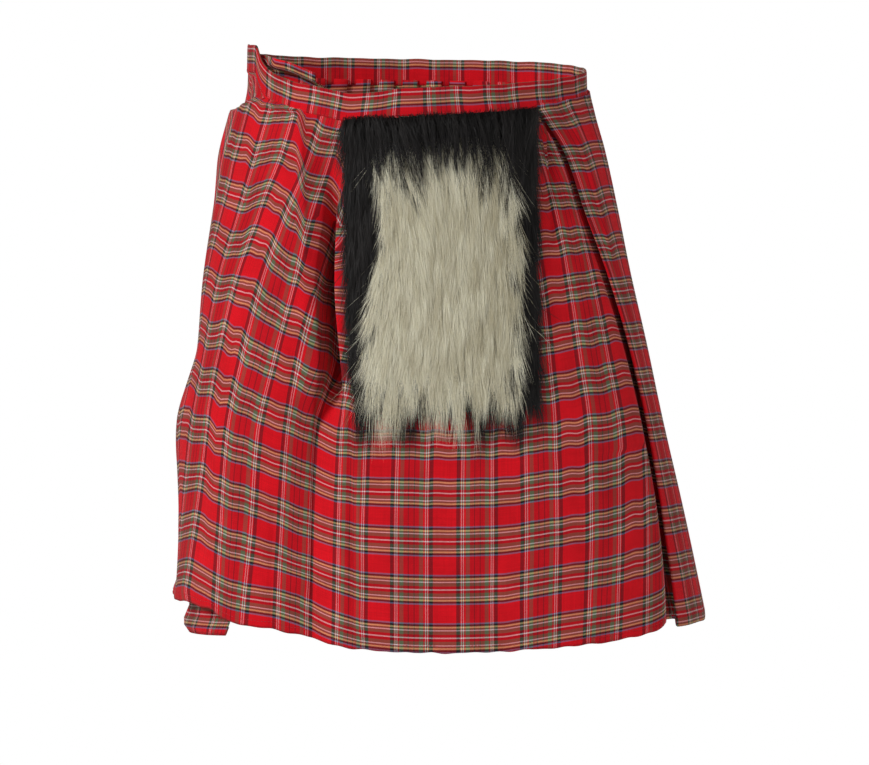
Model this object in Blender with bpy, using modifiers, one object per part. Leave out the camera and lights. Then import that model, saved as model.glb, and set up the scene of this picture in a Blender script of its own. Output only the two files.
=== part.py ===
"""A scottish kilt of thin tartan cloth, in the shape that it has when it is worn.

It is a wrap skirt on a waistband: a flat over apron that drapes round the wearer's right side, an
inverted pleat at the wearer's left, knife pleats across the back, and an under apron. A sporran of
black and cream fake fur is sewn on the over apron.

Metres, +Z up. The front faces -Y, so +X is the wearer's left. The origin is the middle of the waist.
"""

import functools
import math
from typing import Callable, NamedTuple

import bmesh
import bpy
import numpy as np

CLOTH = 0.0012  # wall of one layer of cloth
SEAM_GAP = 0.0006  # between two pieces that meet
PLEAT_SEAM_GAP = 0.0009  # down the middle of the inverted pleat
FOLD_GAP = 0.0021  # between the middles of two layers of a pressed fold

BAND_HEIGHT = 0.028
BAND_WALL = 0.0024
BAND_BULGE = 0.0006  # of the middle of the band's height

PLEATS = 16
PLEAT_CLOTH = 0.074  # cloth that each knife pleat takes up across the back
PLEAT_SWAY_TOP = 0.0042  # half the thickness of the pleated layer
PLEAT_SWAY_HEM = 0.0075
PLEATS_AFTER = 0.004  # from the widest point of the wearer's left side to the first knife pleat
PLEATS_SHORT = 0.052  # from the last knife pleat to the widest point of the wearer's right side
BACK_TONGUE = 0.006  # of the back past its last pleat, to the seam with the under apron
INVERTED_TURN = 0.024  # how far each side of the inverted pleat is turned under

BLACK_PILE = 0.010  # how far the combed pile stands out
CREAM_PILE = 0.008
PILE_RIM = 0.15  # share of the pile's height left at the edge of a fur piece
PILE_ROUND = 0.018  # how far in from its edge a piece of fur reaches its full height
FUR_GAP = 0.0004  # between a piece of fur and what it is sewn on

RING_STEP = 1.5  # degrees between the points that a level section is measured by
TOP_STEPS = 4  # in which a panel's top edge settles just under the waistband

# How closely the pieces are divided: rows as shares of their height, and columns as numbers.
ROWS_OVER_SHOULDER = (0.0, 0.5, 0.9)
ROWS_UNDER_SHOULDER = (0.0, 0.007, 0.03, 0.08, 0.15, 0.23, 0.32, 0.41,
                       0.50, 0.59, 0.68, 0.77, 0.86, 0.94, 1.0)
BACK_ROWS = np.linspace(0, 1, 14) ** 1.25
UNDER_ROWS = np.linspace(0, 1, 15)
FUR_ROWS = (0.0, 0.04, 0.10, 0.22, 0.36, 0.50, 0.64, 0.78, 0.90, 0.96, 1.0)
BAND_COLUMNS = 85
OVER_SPANS = (2, 5, 3, 2, 2, 2, 2, 9)  # between one line down the over apron and the next
SIDE_SPANS = 7
UNDER_COLUMNS = 12
BLACK_COLUMNS = 25
CREAM_COLUMNS = 19


class Section(NamedTuple):
    """Half widths of the level section through the body of the skirt, at a drop below the waist."""

    drop: float
    wearer_right: float
    wearer_left: float
    front: float
    back: float
    square: float  # 2 is an ellipse, more is squarer


SECTIONS = (
    Section(-0.045, 0.1770, 0.1780, 0.121, 0.116, 2.15),
    Section(0.00, 0.1780, 0.1785, 0.122, 0.117, 2.15),
    Section(0.03, 0.1835, 0.1845, 0.125, 0.121, 2.20),
    Section(0.07, 0.1920, 0.1955, 0.131, 0.129, 2.20),
    Section(0.13, 0.2045, 0.2085, 0.138, 0.142, 2.25),
    Section(0.20, 0.2170, 0.2225, 0.145, 0.150, 2.30),
    Section(0.28, 0.2280, 0.2410, 0.153, 0.155, 2.40),
    Section(0.36, 0.2380, 0.2580, 0.162, 0.163, 2.45),
    Section(0.46, 0.2465, 0.2805, 0.174, 0.174, 2.50),
    Section(0.60, 0.2570, 0.3100, 0.192, 0.190, 2.60),
)


class BandPlace(NamedTuple):
    """Where the waistband's top edge runs. It turns once round the waist and overlaps itself."""

    turn: float  # degrees from the front middle, towards the wearer's left
    height: float  # of the top edge, over the waist
    out: float  # from the body section


BAND = (
    BandPlace(-97, 0.043, 0.0060),
    BandPlace(-90, 0.039, 0.0040),
    BandPlace(-72, 0.031, 0.0030),
    BandPlace(-61, 0.0195, 0.0025),
    BandPlace(-47, 0.0080, 0.0020),
    BandPlace(-29, -0.0005, 0.0),
    BandPlace(-20, -0.0045, 0.0),
    BandPlace(0, 0.0020, 0.0),
    BandPlace(18, 0.0035, 0.0),
    BandPlace(48, 0.0080, 0.0),
    BandPlace(90, 0.0150, 0.0),
    BandPlace(135, 0.0200, 0.0),
    BandPlace(180, 0.0220, 0.0),
    BandPlace(225, 0.0260, -0.0010),
    BandPlace(262, 0.0320, -0.0035),
    BandPlace(285, 0.0330, -0.0060),
    BandPlace(300, 0.0290, -0.0075),
    BandPlace(313, 0.0240, -0.0080),
    BandPlace(323, 0.0150, -0.0080),
)

# Drops at which the lines down the aprons are given.
LEVELS = (0.02, 0.07, 0.13, 0.20, 0.28, 0.36, 0.46, 0.53, 0.58)


class FoldLine(NamedTuple):
    """A line down the over apron: its place across the front and how far it stands out, at each level."""

    across: tuple
    out: tuple


# From the deep valley beside the sporran round to the cheek of the fold at the wearer's right.
LIP = FoldLine(
    across=(-0.076, -0.076, -0.083, -0.086, -0.080, -0.070, -0.069, -0.068, -0.068),
    out=(0.0, 0.0, 0.0, 0.001, 0.001, -0.003, -0.004, -0.004, -0.004),
)
VALLEY = FoldLine(
    across=(-0.085, -0.084, -0.091, -0.094, -0.091, -0.106, -0.110, -0.111, -0.111),
    out=(0.0, -0.002, -0.010, -0.017, -0.013, -0.007, -0.006, -0.006, -0.006),
)
BANK = FoldLine(
    across=(-0.102, -0.100, -0.104, -0.105, -0.105, -0.114, -0.117, -0.118, -0.118),
    out=(0.001, 0.004, -0.001, -0.006, -0.004, -0.001, -0.001, -0.001, -0.001),
)
RIDGE = FoldLine(
    across=(-0.125, -0.122, -0.119, -0.117, -0.117, -0.122, -0.126, -0.127, -0.127),
    out=(0.010, 0.014, 0.015, 0.014, 0.011, 0.008, 0.007, 0.007, 0.007),
)
CHEEK = FoldLine(
    across=(-0.145, -0.150, -0.154, -0.158, -0.162, -0.168, -0.174, -0.178, -0.180),
    out=(0.015, 0.018, 0.018, 0.016, 0.013, 0.013, 0.010, 0.009, 0.011),
)
# The over apron at the wearer's right side, and behind it at its free edge.
SIDE_OUT = (0.018, 0.021, 0.014, 0.012, 0.009, 0.022, 0.011, 0.009, 0.021)
FREE_EDGE_OUT = (0.015, 0.015, 0.010, 0.009, 0.009, 0.014, 0.010, 0.010, 0.024)
FREE_EDGE_BEHIND = 0.026  # past the widest point of the side
FLAT_AFTER_LIP = 0.020  # from the valley's lip to where the apron hangs flat
# The under apron's free edge, where it lies across the front inside the over apron.
UNDER_EDGE_ACROSS = (-0.113, -0.122, -0.132, -0.143, -0.157, -0.170, -0.187, -0.198, -0.205)
# The inverted pleat: the fold at the over apron's edge, the opening from it to the side's fold,
# how deep the cloth between them lies, and how far the side's fold stands out.
PLEAT_ACROSS = (0.120, 0.150, 0.171, 0.197, 0.222, 0.241, 0.257, 0.263, 0.265)
PLEAT_OPEN = (0.004, 0.004, 0.004, 0.004, 0.005, 0.007, 0.012, 0.019, 0.025)
PLEAT_DEPTH = (0.0045, 0.005, 0.0055, 0.006, 0.008, 0.012, 0.016, 0.018, 0.020)
SIDE_EDGE_OUT = (0.002, 0.0025, 0.0025, 0.0025, 0.0015, 0.0, -0.002, -0.003, -0.004)


class ShoulderPlace(NamedTuple):
    """Where the draped side of the over apron turns out from under the waistband."""

    across: float
    drop: float


SHOULDER = (
    ShoulderPlace(-0.200, 0.0290),
    ShoulderPlace(-0.178, 0.0230),
    ShoulderPlace(-0.168, 0.0120),
    ShoulderPlace(-0.155, 0.0135),
    ShoulderPlace(-0.140, 0.0170),
    ShoulderPlace(-0.125, 0.0210),
    ShoulderPlace(-0.110, 0.0300),
)
SHOULDER_LEAST = 0.004  # below the waistband
SHOULDER_OVER = 0.0015  # how far over its place the cloth starts to turn out
SHOULDER_TURN = 0.0045  # and the drop in which it turns out


class HemPlace(NamedTuple):
    """The drop of the over apron's hem, this far round the hem from the front middle."""

    along: float
    drop: float


OVER_HEM = (
    HemPlace(-0.410, 0.550),
    HemPlace(-0.350, 0.549),
    HemPlace(-0.270, 0.544),
    HemPlace(-0.224, 0.553),
    HemPlace(-0.200, 0.5575),
    HemPlace(-0.160, 0.5625),
    HemPlace(-0.127, 0.568),
    HemPlace(-0.094, 0.5750),
    HemPlace(-0.050, 0.5785),
    HemPlace(0.030, 0.581),
    HemPlace(0.152, 0.577),
    HemPlace(0.250, 0.5697),
    HemPlace(0.300, 0.5570),
)
INVERTED_HEM = 0.562
SIDE_HEM_RISE = 0.008  # of the left side's hem towards the inverted pleat
BACK_HEM = 0.577
UNDER_HEM = 0.587
UNDER_HEM_RISE = 0.015  # towards the under apron's free edge
# The under apron follows the waistband's inner end near the waist, and the pleats near their seam.
UNDER_CLEAR_OF_BAND = 0.080  # the drop at which it has left the band's line
UNDER_JOINS_BAND = 0.2  # and the shares of its width in which it comes to the band's line
UNDER_LEVELS_OUT = 0.4  # and from the inner side of the pleats out to the body section


class FurLine(NamedTuple):
    """The edge of a piece of fur: top corners, then the ends of its longest locks."""

    left: float
    right_top: float
    right_bottom: float
    top_left: float
    top_right: float
    bottom: float


BLACK = FurLine(-0.077, right_top=0.123, right_bottom=0.135, top_left=0.034, top_right=0.025, bottom=0.352)
CREAM = FurLine(-0.054, right_top=0.102, right_bottom=0.110, top_left=0.069, top_right=0.065, bottom=0.360)
BLACK_LOCK = 0.016  # how far the tips of the locks hang past the notches between them
CREAM_LOCK = 0.022

kilt = bpy.data.collections.new("scottish kilt")


def smooth(at, places, values):
    """The value at a place on a curve through the given ones, with no overshoot between them."""
    places = np.asarray(places, float)
    values = np.asarray(values, float)
    step = np.diff(places)
    rise = np.diff(values) / step
    before, after = rise[:-1], rise[1:]
    same_way = before * after > 0
    middle = np.where(same_way, 2 * before * after / np.where(same_way, before + after, 1), 0)
    slope = np.concatenate([rise[:1], middle, rise[-1:]])
    at = np.clip(at, places[0], places[-1])
    row = np.clip(np.searchsorted(places, at, side="right") - 1, 0, len(step) - 1)
    part = (at - places[row]) / step[row]
    rest = 1 - part
    start = values[row] * (1 + 2 * part) * rest**2 + slope[row] * step[row] * part * rest**2
    end = values[row + 1] * (3 - 2 * part) * part**2 - slope[row + 1] * step[row] * rest * part**2
    return start + end


def ease(value):
    """0 below 0, 1 above 1, and a smooth step between."""
    value = min(max(value, 0.0), 1.0)
    return value * value * (3 - 2 * value)


class Ring(NamedTuple):
    """The level section at one drop: arc length from the front middle, place and outward direction."""

    turn: np.ndarray
    along: np.ndarray
    x: np.ndarray
    y: np.ndarray
    out_x: np.ndarray
    out_y: np.ndarray


@functools.lru_cache(maxsize=None)
def ring(drop):
    drops = [row.drop for row in SECTIONS]
    reach = {name: float(smooth(drop, drops, [getattr(row, name) for row in SECTIONS]))
             for name in Section._fields[1:]}
    turn = np.arange(0, 360 + RING_STEP, RING_STEP)
    across = np.sin(np.radians(turn))
    ahead = np.cos(np.radians(turn))
    power = 2 / reach["square"]
    x = np.where(across > 0, reach["wearer_left"], -reach["wearer_right"]) * np.abs(across) ** power
    y = np.where(ahead > 0, -reach["front"], reach["back"]) * np.abs(ahead) ** power
    along = np.concatenate([[0], np.cumsum(np.hypot(np.diff(x), np.diff(y)))])
    step_x = np.gradient(x, along)
    step_y = np.gradient(y, along)
    length = np.hypot(step_x, step_y)
    return Ring(turn, along, x, y, step_y / length, -step_x / length)


def place(drop, along, out):
    """The point this far round the section and this far out from it."""
    section = ring(round(drop, 5))
    along = along % section.along[-1]
    x, y, out_x, out_y = (np.interp(along, section.along, column) for column in section[2:])
    return (x + out * out_x, y + out * out_y, -drop)


def along_at_turn(drop, turn):
    section = ring(round(drop, 5))
    laps = math.floor(turn / 360)
    return laps * section.along[-1] + float(np.interp(turn - 360 * laps, section.turn, section.along))


def along_at_across(drop, across):
    """How far round the front a place across it lies, negative towards the wearer's right."""
    section = ring(round(drop, 5))
    if across >= 0:
        quarter = section.turn <= 90
        return float(np.interp(across, section.x[quarter], section.along[quarter]))
    quarter = section.turn >= 270
    back_to_front = section.along[quarter] - section.along[-1]
    return float(np.interp(across, section.x[quarter], back_to_front))


def band_bottom(turn):
    """Drop of the waistband's lower edge."""
    return BAND_HEIGHT - float(smooth(turn, [row.turn for row in BAND], [row.height for row in BAND]))


def band_out(turn):
    return float(smooth(turn, [row.turn for row in BAND], [row.out for row in BAND]))


def turn_at(drop, along):
    section = ring(round(drop, 5))
    laps = math.floor(along / section.along[-1])
    return 360 * laps + float(np.interp(along - laps * section.along[-1], section.along, section.turn))


def at_level(drop, values):
    return float(smooth(drop, LEVELS, values))


def wall_object(name, points, wall, shares=None):
    """A wall on rows of points, from the hem up. With shares, it is a pile that stands out from them."""
    rows, columns = len(points), len(points[0])
    mesh = bpy.data.meshes.new(name)
    piece = bpy.data.objects.new(name, mesh)
    kilt.objects.link(piece)
    grid = bmesh.new()
    bmesh.ops.create_grid(grid, x_segments=columns - 1, y_segments=rows - 1, size=0.5)
    cells = [(round((vert.co.y + 0.5) * (rows - 1)), round((vert.co.x + 0.5) * (columns - 1)))
             for vert in grid.verts]
    for vert, (row, column) in zip(grid.verts, cells):
        vert.co = points[row][column]
    grid.to_mesh(mesh)
    grid.free()
    solidify = piece.modifiers.new("wall", "SOLIDIFY")
    solidify.thickness = wall
    solidify.use_even_offset = True
    if shares is None:
        solidify.offset = 0
        mesh.shade_smooth()
        return piece
    pile = piece.vertex_groups.new(name="pile")
    for index, (row, column) in enumerate(cells):
        pile.add([index], shares[row][column], "REPLACE")
    solidify.offset = 1
    solidify.vertex_group = pile.name
    mesh.shade_smooth()
    return piece


# ---- lines down the panels: each is how far round the section it lies, and how far out, at a drop ----

class Line(NamedTuple):
    along: Callable
    out: Callable


def fold_line(fold):
    return Line(lambda drop: along_at_across(drop, at_level(drop, fold.across)),
                lambda drop: at_level(drop, fold.out))


def side_line(behind, outs):
    """A line at the wearer's right side, this far behind its widest point."""
    return Line(lambda drop: along_at_turn(drop, -90) - behind, lambda drop: at_level(drop, outs))


def inverted_line(shift, opening, depth, lift=0.0, edge=0.0):
    """A line in the inverted pleat, by shares of the pleat's opening, depth and second edge."""
    def along(drop):
        fold = along_at_across(drop, at_level(drop, PLEAT_ACROSS))
        return fold + shift + opening * at_level(drop, PLEAT_OPEN)

    def out(drop):
        return edge * at_level(drop, SIDE_EDGE_OUT) - depth * at_level(drop, PLEAT_DEPTH) - lift

    return Line(along, out)


def spread(lines, spans):
    """The given lines with others evenly between them, all standing out by one smooth curve."""
    def part_way(index, share):
        def along(drop):
            start, end = lines[index].along(drop), lines[index + 1].along(drop)
            return start + (end - start) * share

        def out(drop):
            return float(smooth(along(drop), [line.along(drop) for line in lines],
                                [line.out(drop) for line in lines]))

        return Line(along, out)

    made = [part_way(index, step / count) for index, count in enumerate(spans) for step in range(count)]
    return made + [lines[-1]]


def top_drop(line):
    """Drop of a panel's top edge on a line, just under the waistband."""
    drop = BAND_HEIGHT
    for _ in range(TOP_STEPS):
        drop = band_bottom(turn_at(drop, line.along(drop))) + SEAM_GAP
    return drop


def column(line, hem, shares):
    """Points down a line, at these shares of the way from the waistband to the hem."""
    top = top_drop(line)
    drops = [top + (hem - top) * share for share in shares]
    return [place(drop, line.along(drop), line.out(drop)) for drop in drops]


def draped_column(line, hem, shoulder):
    """Points down a line that is flush with the waistband above a shoulder, and turns out below it."""
    top = top_drop(line)
    flush = band_out(turn_at(top, line.along(top)))
    bend = max(shoulder, top + SHOULDER_LEAST)
    over = [top + (bend - top) * share for share in ROWS_OVER_SHOULDER]
    under = [bend + (hem - bend) * share for share in ROWS_UNDER_SHOULDER]
    points = []
    for drop in over + under:
        turned = ease((drop - shoulder + SHOULDER_OVER) / SHOULDER_TURN)
        points.append(place(drop, line.along(drop), flush + (line.out(drop) - flush) * turned))
    return points


def panel(name, columns):
    """A cloth panel on columns of points, in order round the skirt."""
    rows = [[points[row] for points in columns] for row in reversed(range(len(columns[0])))]
    return wall_object(name, rows, CLOTH)


# ---- the pieces ----

def make_waistband():
    """A strip folded over the top of every panel. It ends where it began, inside itself."""
    rows = []
    for share, bulge in ((1, 0), (0.5, BAND_BULGE), (0, 0)):
        row = []
        for turn in np.linspace(BAND[0].turn, BAND[-1].turn, BAND_COLUMNS):
            drop = band_bottom(turn) - BAND_HEIGHT * (1 - share)
            row.append(place(drop, along_at_turn(drop, turn), band_out(turn) + bulge))
        rows.append(row)
    return wall_object("waistband", rows, BAND_WALL)


def apron_lines():
    flat = FoldLine([across + FLAT_AFTER_LIP for across in LIP.across], [0.0] * len(LEVELS))
    return [
        side_line(FREE_EDGE_BEHIND, FREE_EDGE_OUT),
        side_line(0.0, SIDE_OUT),
        fold_line(CHEEK),
        fold_line(RIDGE),
        fold_line(BANK),
        fold_line(VALLEY),
        fold_line(LIP),
        fold_line(flat),
        inverted_line(0.0, 0.0, 0.0),
    ]


def make_over_apron():
    """From the free edge, round the wearer's right side and the front, into the inverted pleat."""
    columns = []
    for line in spread(apron_lines(), OVER_SPANS):
        across = place(LEVELS[0], line.along(LEVELS[0]), 0)[0]
        shoulder = float(smooth(across, *zip(*SHOULDER)))
        hem = float(smooth(line.along(INVERTED_HEM), *zip(*OVER_HEM)))
        columns.append(draped_column(line, hem, shoulder))
    edge = columns[-1]
    shares = [(edge[0][2] - point[2]) / (edge[0][2] - edge[-1][2]) for point in edge]
    columns += [
        column(inverted_line(0.0, 0.0, 0.0, lift=FOLD_GAP), hem, shares),
        column(inverted_line(-INVERTED_TURN, 0.0, 0.5, lift=FOLD_GAP / 2), hem, shares),
        column(inverted_line(-INVERTED_TURN, 0.0, 1.0, lift=FOLD_GAP), INVERTED_HEM, shares),
        column(inverted_line(-PLEAT_SEAM_GAP / 2, 0.5, 1.0, lift=FOLD_GAP), INVERTED_HEM, shares),
    ]
    return panel("over_apron", columns)


def pleats_start(drop):
    return along_at_turn(drop, 90) + PLEATS_AFTER


def pleats_end(drop):
    return along_at_turn(drop, 270) - PLEATS_SHORT


def pleat_face(drop):
    return (pleats_end(drop) - pleats_start(drop)) / PLEATS


def pleat_under(drop):
    """How far a knife pleat's edge lies over the next pleat."""
    return (PLEAT_CLOTH - pleat_face(drop)) / 2


def pleat_sway(drop):
    return PLEAT_SWAY_TOP + (PLEAT_SWAY_HEM - PLEAT_SWAY_TOP) * ease(drop / BACK_HEM)


def knife_pleat(pleat):
    """Its face runs out from the fold inside to a pressed edge, and is turned back under itself."""
    def inner(drop):
        return pleats_start(drop) + pleat * pleat_face(drop)

    def edge(drop):
        return inner(drop) + pleat_face(drop) + pleat_under(drop)

    def across(share):
        return Line(lambda drop: inner(drop) + (edge(drop) - inner(drop)) * share,
                    lambda drop: (2 * share - 1) * pleat_sway(drop))

    def back_under(share):
        return Line(lambda drop: edge(drop) - pleat_under(drop) * share,
                    lambda drop: (1 - 2 * share) * (pleat_sway(drop) - FOLD_GAP))

    return [across(0), across(1 / 3), across(2 / 3), across(1), back_under(0), back_under(0.5), back_under(1)]


def make_pleated_back():
    """From the inverted pleat, round the wearer's left side and across the back."""
    hem = BACK_HEM - SIDE_HEM_RISE
    columns = [
        column(inverted_line(PLEAT_SEAM_GAP / 2, 0.5, 1.0, lift=FOLD_GAP), INVERTED_HEM, BACK_ROWS),
        column(inverted_line(INVERTED_TURN, 1.0, 1.0, lift=FOLD_GAP), INVERTED_HEM, BACK_ROWS),
        column(inverted_line(INVERTED_TURN, 1.0, 0.5, lift=FOLD_GAP / 2), hem, BACK_ROWS),
        column(inverted_line(0.0, 1.0, 0.0, lift=FOLD_GAP, edge=1.0), hem, BACK_ROWS),
    ]
    side_edge, *side_under = knife_pleat(-1)[3:]
    side = spread([inverted_line(0.0, 1.0, 0.0, edge=1.0), side_edge], (SIDE_SPANS,))
    lines = side_under
    for pleat in range(PLEATS):
        lines += knife_pleat(pleat)
    for past in (0, BACK_TONGUE):
        lines.append(Line(lambda drop, past=past: pleats_end(drop) + past, lambda drop: -pleat_sway(drop)))
    side_hems = np.linspace(hem, BACK_HEM, len(side))
    columns += [column(line, side_hem, BACK_ROWS) for line, side_hem in zip(side, side_hems)]
    columns += [column(line, BACK_HEM, BACK_ROWS) for line in lines]
    return panel("pleated_back", columns)


def make_under_apron():
    """From the seam at the wearer's right, inside the over apron, to a free edge at the front."""
    def seam(drop):
        return pleats_end(drop) + BACK_TONGUE + SEAM_GAP

    def edge(drop):
        return ring(round(drop, 5)).along[-1] + along_at_across(drop, at_level(drop, UNDER_EDGE_ACROSS))

    columns = []
    for share in np.linspace(0, 1, UNDER_COLUMNS):
        def along(drop):
            return seam(drop) + (edge(drop) - seam(drop)) * share

        def out(drop):
            tucked = -pleat_sway(drop) * (1 - ease(share / UNDER_LEVELS_OUT))
            in_band = band_out(turn_at(drop, along(drop)))
            near_band = (1 - ease(drop / UNDER_CLEAR_OF_BAND)) * ease(share / UNDER_JOINS_BAND)
            return tucked + (in_band - tucked) * near_band

        columns.append(column(Line(along, out), UNDER_HEM - UNDER_HEM_RISE * share, UNDER_ROWS))
    return panel("under_apron", columns)


def fur_piece(name, edge, lift, height, lock, columns):
    """A piece of pile fabric on the over apron, combed down into pointed locks at its lower edge."""
    lines = apron_lines()
    points, shares = [], []
    for row in reversed(FUR_ROWS):
        row_points, row_shares = [], []
        for index in range(columns):
            part = index / (columns - 1)
            top = edge.top_left + (edge.top_right - edge.top_left) * part
            bottom = edge.bottom - (lock if index % 2 == 0 else 0.0)
            drop = top + (bottom - top) * row
            right = edge.right_top + (edge.right_bottom - edge.right_top) * row
            across = edge.left + (right - edge.left) * part
            along = along_at_across(drop, across)
            apron = float(smooth(along, [line.along(drop) for line in lines],
                                 [line.out(drop) for line in lines]))
            row_points.append(place(drop, along, max(apron, 0.0) + lift))
            near_side = min(part, 1 - part) * (right - edge.left) / PILE_ROUND
            near_end = min(row, 1 - row) * (bottom - top) / PILE_ROUND
            row_shares.append(PILE_RIM + (1 - PILE_RIM) * ease(near_side) * ease(near_end))
        points.append(row_points)
        shares.append(row_shares)
    return wall_object(name, points, height, shares)


def finish(piece, name, colour, roughness):
    made = bpy.data.materials.new(name)
    made.use_nodes = True
    shader = made.node_tree.nodes["Principled BSDF"]
    shader.inputs["Base Color"].default_value = (*colour, 1)
    shader.inputs["Roughness"].default_value = roughness
    shader.inputs["Metallic"].default_value = 0
    made.diffuse_color = (*colour, 1)
    piece.data.materials.append(made)


for old in list(bpy.data.objects):
    bpy.data.objects.remove(old)
bpy.context.scene.collection.children.link(kilt)

finish(make_waistband(), "tartan, waistband", (0.42, 0.03, 0.04), 0.8)
finish(make_over_apron(), "tartan, over apron", (0.48, 0.02, 0.035), 0.8)
finish(make_pleated_back(), "tartan, pleats", (0.36, 0.02, 0.03), 0.8)
finish(make_under_apron(), "tartan, under apron", (0.30, 0.02, 0.03), 0.8)

on_apron = CLOTH / 2 + FUR_GAP
black_fur = fur_piece("sporran_black_fur", BLACK, on_apron, BLACK_PILE, BLACK_LOCK, BLACK_COLUMNS)
finish(black_fur, "black fur", (0.015, 0.014, 0.014), 0.6)
on_black = on_apron + BLACK_PILE + FUR_GAP
cream_fur = fur_piece("sporran_cream_fur", CREAM, on_black, CREAM_PILE, CREAM_LOCK, CREAM_COLUMNS)
finish(cream_fur, "cream fur", (0.55, 0.50, 0.36), 0.6)
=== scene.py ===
"""A Scottish wrap kilt of thin red tartan, worn, with a sewn-on sporran of black and cream fake fur.

Metres, +Z up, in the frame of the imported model: the front faces -Y, so +X is the wearer's left. A drop is
measured down from the waist, and a turn is in degrees round the body, from the front towards the
wearer's left.
"""

import math
from typing import NamedTuple

import bmesh
import bpy
import numpy as np
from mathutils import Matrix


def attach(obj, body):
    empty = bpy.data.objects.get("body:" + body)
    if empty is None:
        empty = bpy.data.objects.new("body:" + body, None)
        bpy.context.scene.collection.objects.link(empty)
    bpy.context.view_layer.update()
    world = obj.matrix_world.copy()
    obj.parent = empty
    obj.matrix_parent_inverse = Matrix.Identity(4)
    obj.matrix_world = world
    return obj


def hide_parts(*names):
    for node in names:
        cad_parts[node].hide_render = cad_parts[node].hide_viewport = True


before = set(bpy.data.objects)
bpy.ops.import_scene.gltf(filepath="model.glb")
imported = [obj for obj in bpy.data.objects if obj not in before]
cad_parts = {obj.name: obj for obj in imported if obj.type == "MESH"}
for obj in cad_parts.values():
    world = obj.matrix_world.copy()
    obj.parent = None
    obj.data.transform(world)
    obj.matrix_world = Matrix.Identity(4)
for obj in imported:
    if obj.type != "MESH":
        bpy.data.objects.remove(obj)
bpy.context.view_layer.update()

# ---- camera, floor and light ----------------------------------------------------------------------------
# A long lens a little above the waist looks slightly down at the front. The floor is plain and pale,
# about where a wearer's feet would stand, under large soft lamps and an even white sky.

CAMERA_PLACE = (0.0171, -4.5, 0.20)
CAMERA_TILT = 6.59  # degrees down
FRAME_WIDTH = 869  # pixels
FOCAL_LENGTH = 4207  # pixels
SENSOR_WIDTH = 36.0  # millimetres
FLOOR_DROP = 1.08
FLOOR_RADIUS = 1.35
SKY_SEEN = 1.0  # strength of the sky that the camera sees
SKY_LIGHT = 0.26  # and of its light on the cloth


class Lamp(NamedTuple):
    """A soft square lamp that points at the middle of the skirt."""

    name: str
    place: tuple
    size: float
    power: float


LAMPS = (
    Lamp("key", (-2.7, -2.8, 1.8), 1.2, 120.0),
    Lamp("fill", (1.4, -3.9, 0.2), 2.0, 9.0),
    Lamp("side", (2.8, -0.4, 0.5), 1.2, 11.0),
    Lamp("back", (-0.6, 3.4, 1.8), 2.4, 40.0),
)
SKIRT_MIDDLE = np.array([0.0, 0.0, -0.28])

scene = bpy.context.scene
scene.view_settings.view_transform = "Standard"

camera = bpy.data.objects.new("camera", bpy.data.cameras.new("camera"))
camera.data.sensor_width = SENSOR_WIDTH
camera.data.lens = SENSOR_WIDTH * FOCAL_LENGTH / FRAME_WIDTH
camera.location = CAMERA_PLACE
camera.rotation_euler = (math.radians(90 - CAMERA_TILT), 0, 0)
scene.collection.objects.link(camera)
scene.camera = camera


def add(tree, kind, inputs=None, **settings):
    """A shader node with these settings. An input is a value, or the socket that feeds it."""
    made = tree.nodes.new("ShaderNode" + kind)
    for name, value in settings.items():
        setattr(made, name, value)
    for name, value in (inputs or {}).items():
        if isinstance(value, bpy.types.NodeSocket):
            tree.links.new(value, made.inputs[name])
        else:
            made.inputs[name].default_value = value
    return made


sky = bpy.data.worlds.new("white sky")
sky.use_nodes = True
seen = add(sky.node_tree, "LightPath")
strength = add(sky.node_tree, "MapRange", {"Value": seen.outputs["Is Camera Ray"], "To Min": SKY_LIGHT,
                                           "To Max": SKY_SEEN})
sky.node_tree.nodes["Background"].inputs["Color"].default_value = (1, 1, 1, 1)
sky.node_tree.links.new(strength.outputs["Result"], sky.node_tree.nodes["Background"].inputs["Strength"])
scene.world = sky

for lamp in LAMPS:
    light = bpy.data.lights.new(lamp.name, "AREA")
    light.size = lamp.size
    light.energy = lamp.power
    stand = bpy.data.objects.new(lamp.name, light)
    stand.location = lamp.place
    away = np.array(lamp.place) - SKIRT_MIDDLE
    stand.rotation_euler = (math.atan2(math.hypot(away[0], away[1]), away[2]), 0,
                            math.atan2(away[0], -away[1]))
    scene.collection.objects.link(stand)


def shaded(name, values):
    """A material, its nodes and its shader, with these values on the shader's own sockets."""
    made = bpy.data.materials.new(name)
    made.use_nodes = True
    shader = made.node_tree.nodes["Principled BSDF"]
    for socket, value in values.items():
        shader.inputs[socket].default_value = value
    return made, made.node_tree, shader


disc = bmesh.new()
bmesh.ops.create_circle(disc, cap_ends=True, segments=96, radius=FLOOR_RADIUS)
bmesh.ops.translate(disc, verts=disc.verts, vec=(0, 0, -FLOOR_DROP))
floor = bpy.data.objects.new("floor", bpy.data.meshes.new("floor"))
disc.to_mesh(floor.data)
disc.free()
scene.collection.objects.link(floor)
pale, _, _ = shaded("pale floor", {"Base Color": (0.93, 0.93, 0.92, 1), "Roughness": 0.9,
                                   "Specular IOR Level": 0.1})
floor.data.materials.append(pale)

# ---- waistband ------------------------------------------------------------------------------------------
# A straight strip of the tartan, folded double over the tops of the panels and stitched along its lower
# edge. It carries the whole skirt. Its ends overlap where the wrap closes: the outer end lies at the
# wearer's right side, and the inner end at the front right, under it.


class Section(NamedTuple):
    """Half widths of the level section through the body of the skirt."""

    drop: float
    wearer_right: float
    wearer_left: float
    front: float
    back: float
    square: float  # 2 is an ellipse, more is squarer


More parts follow.
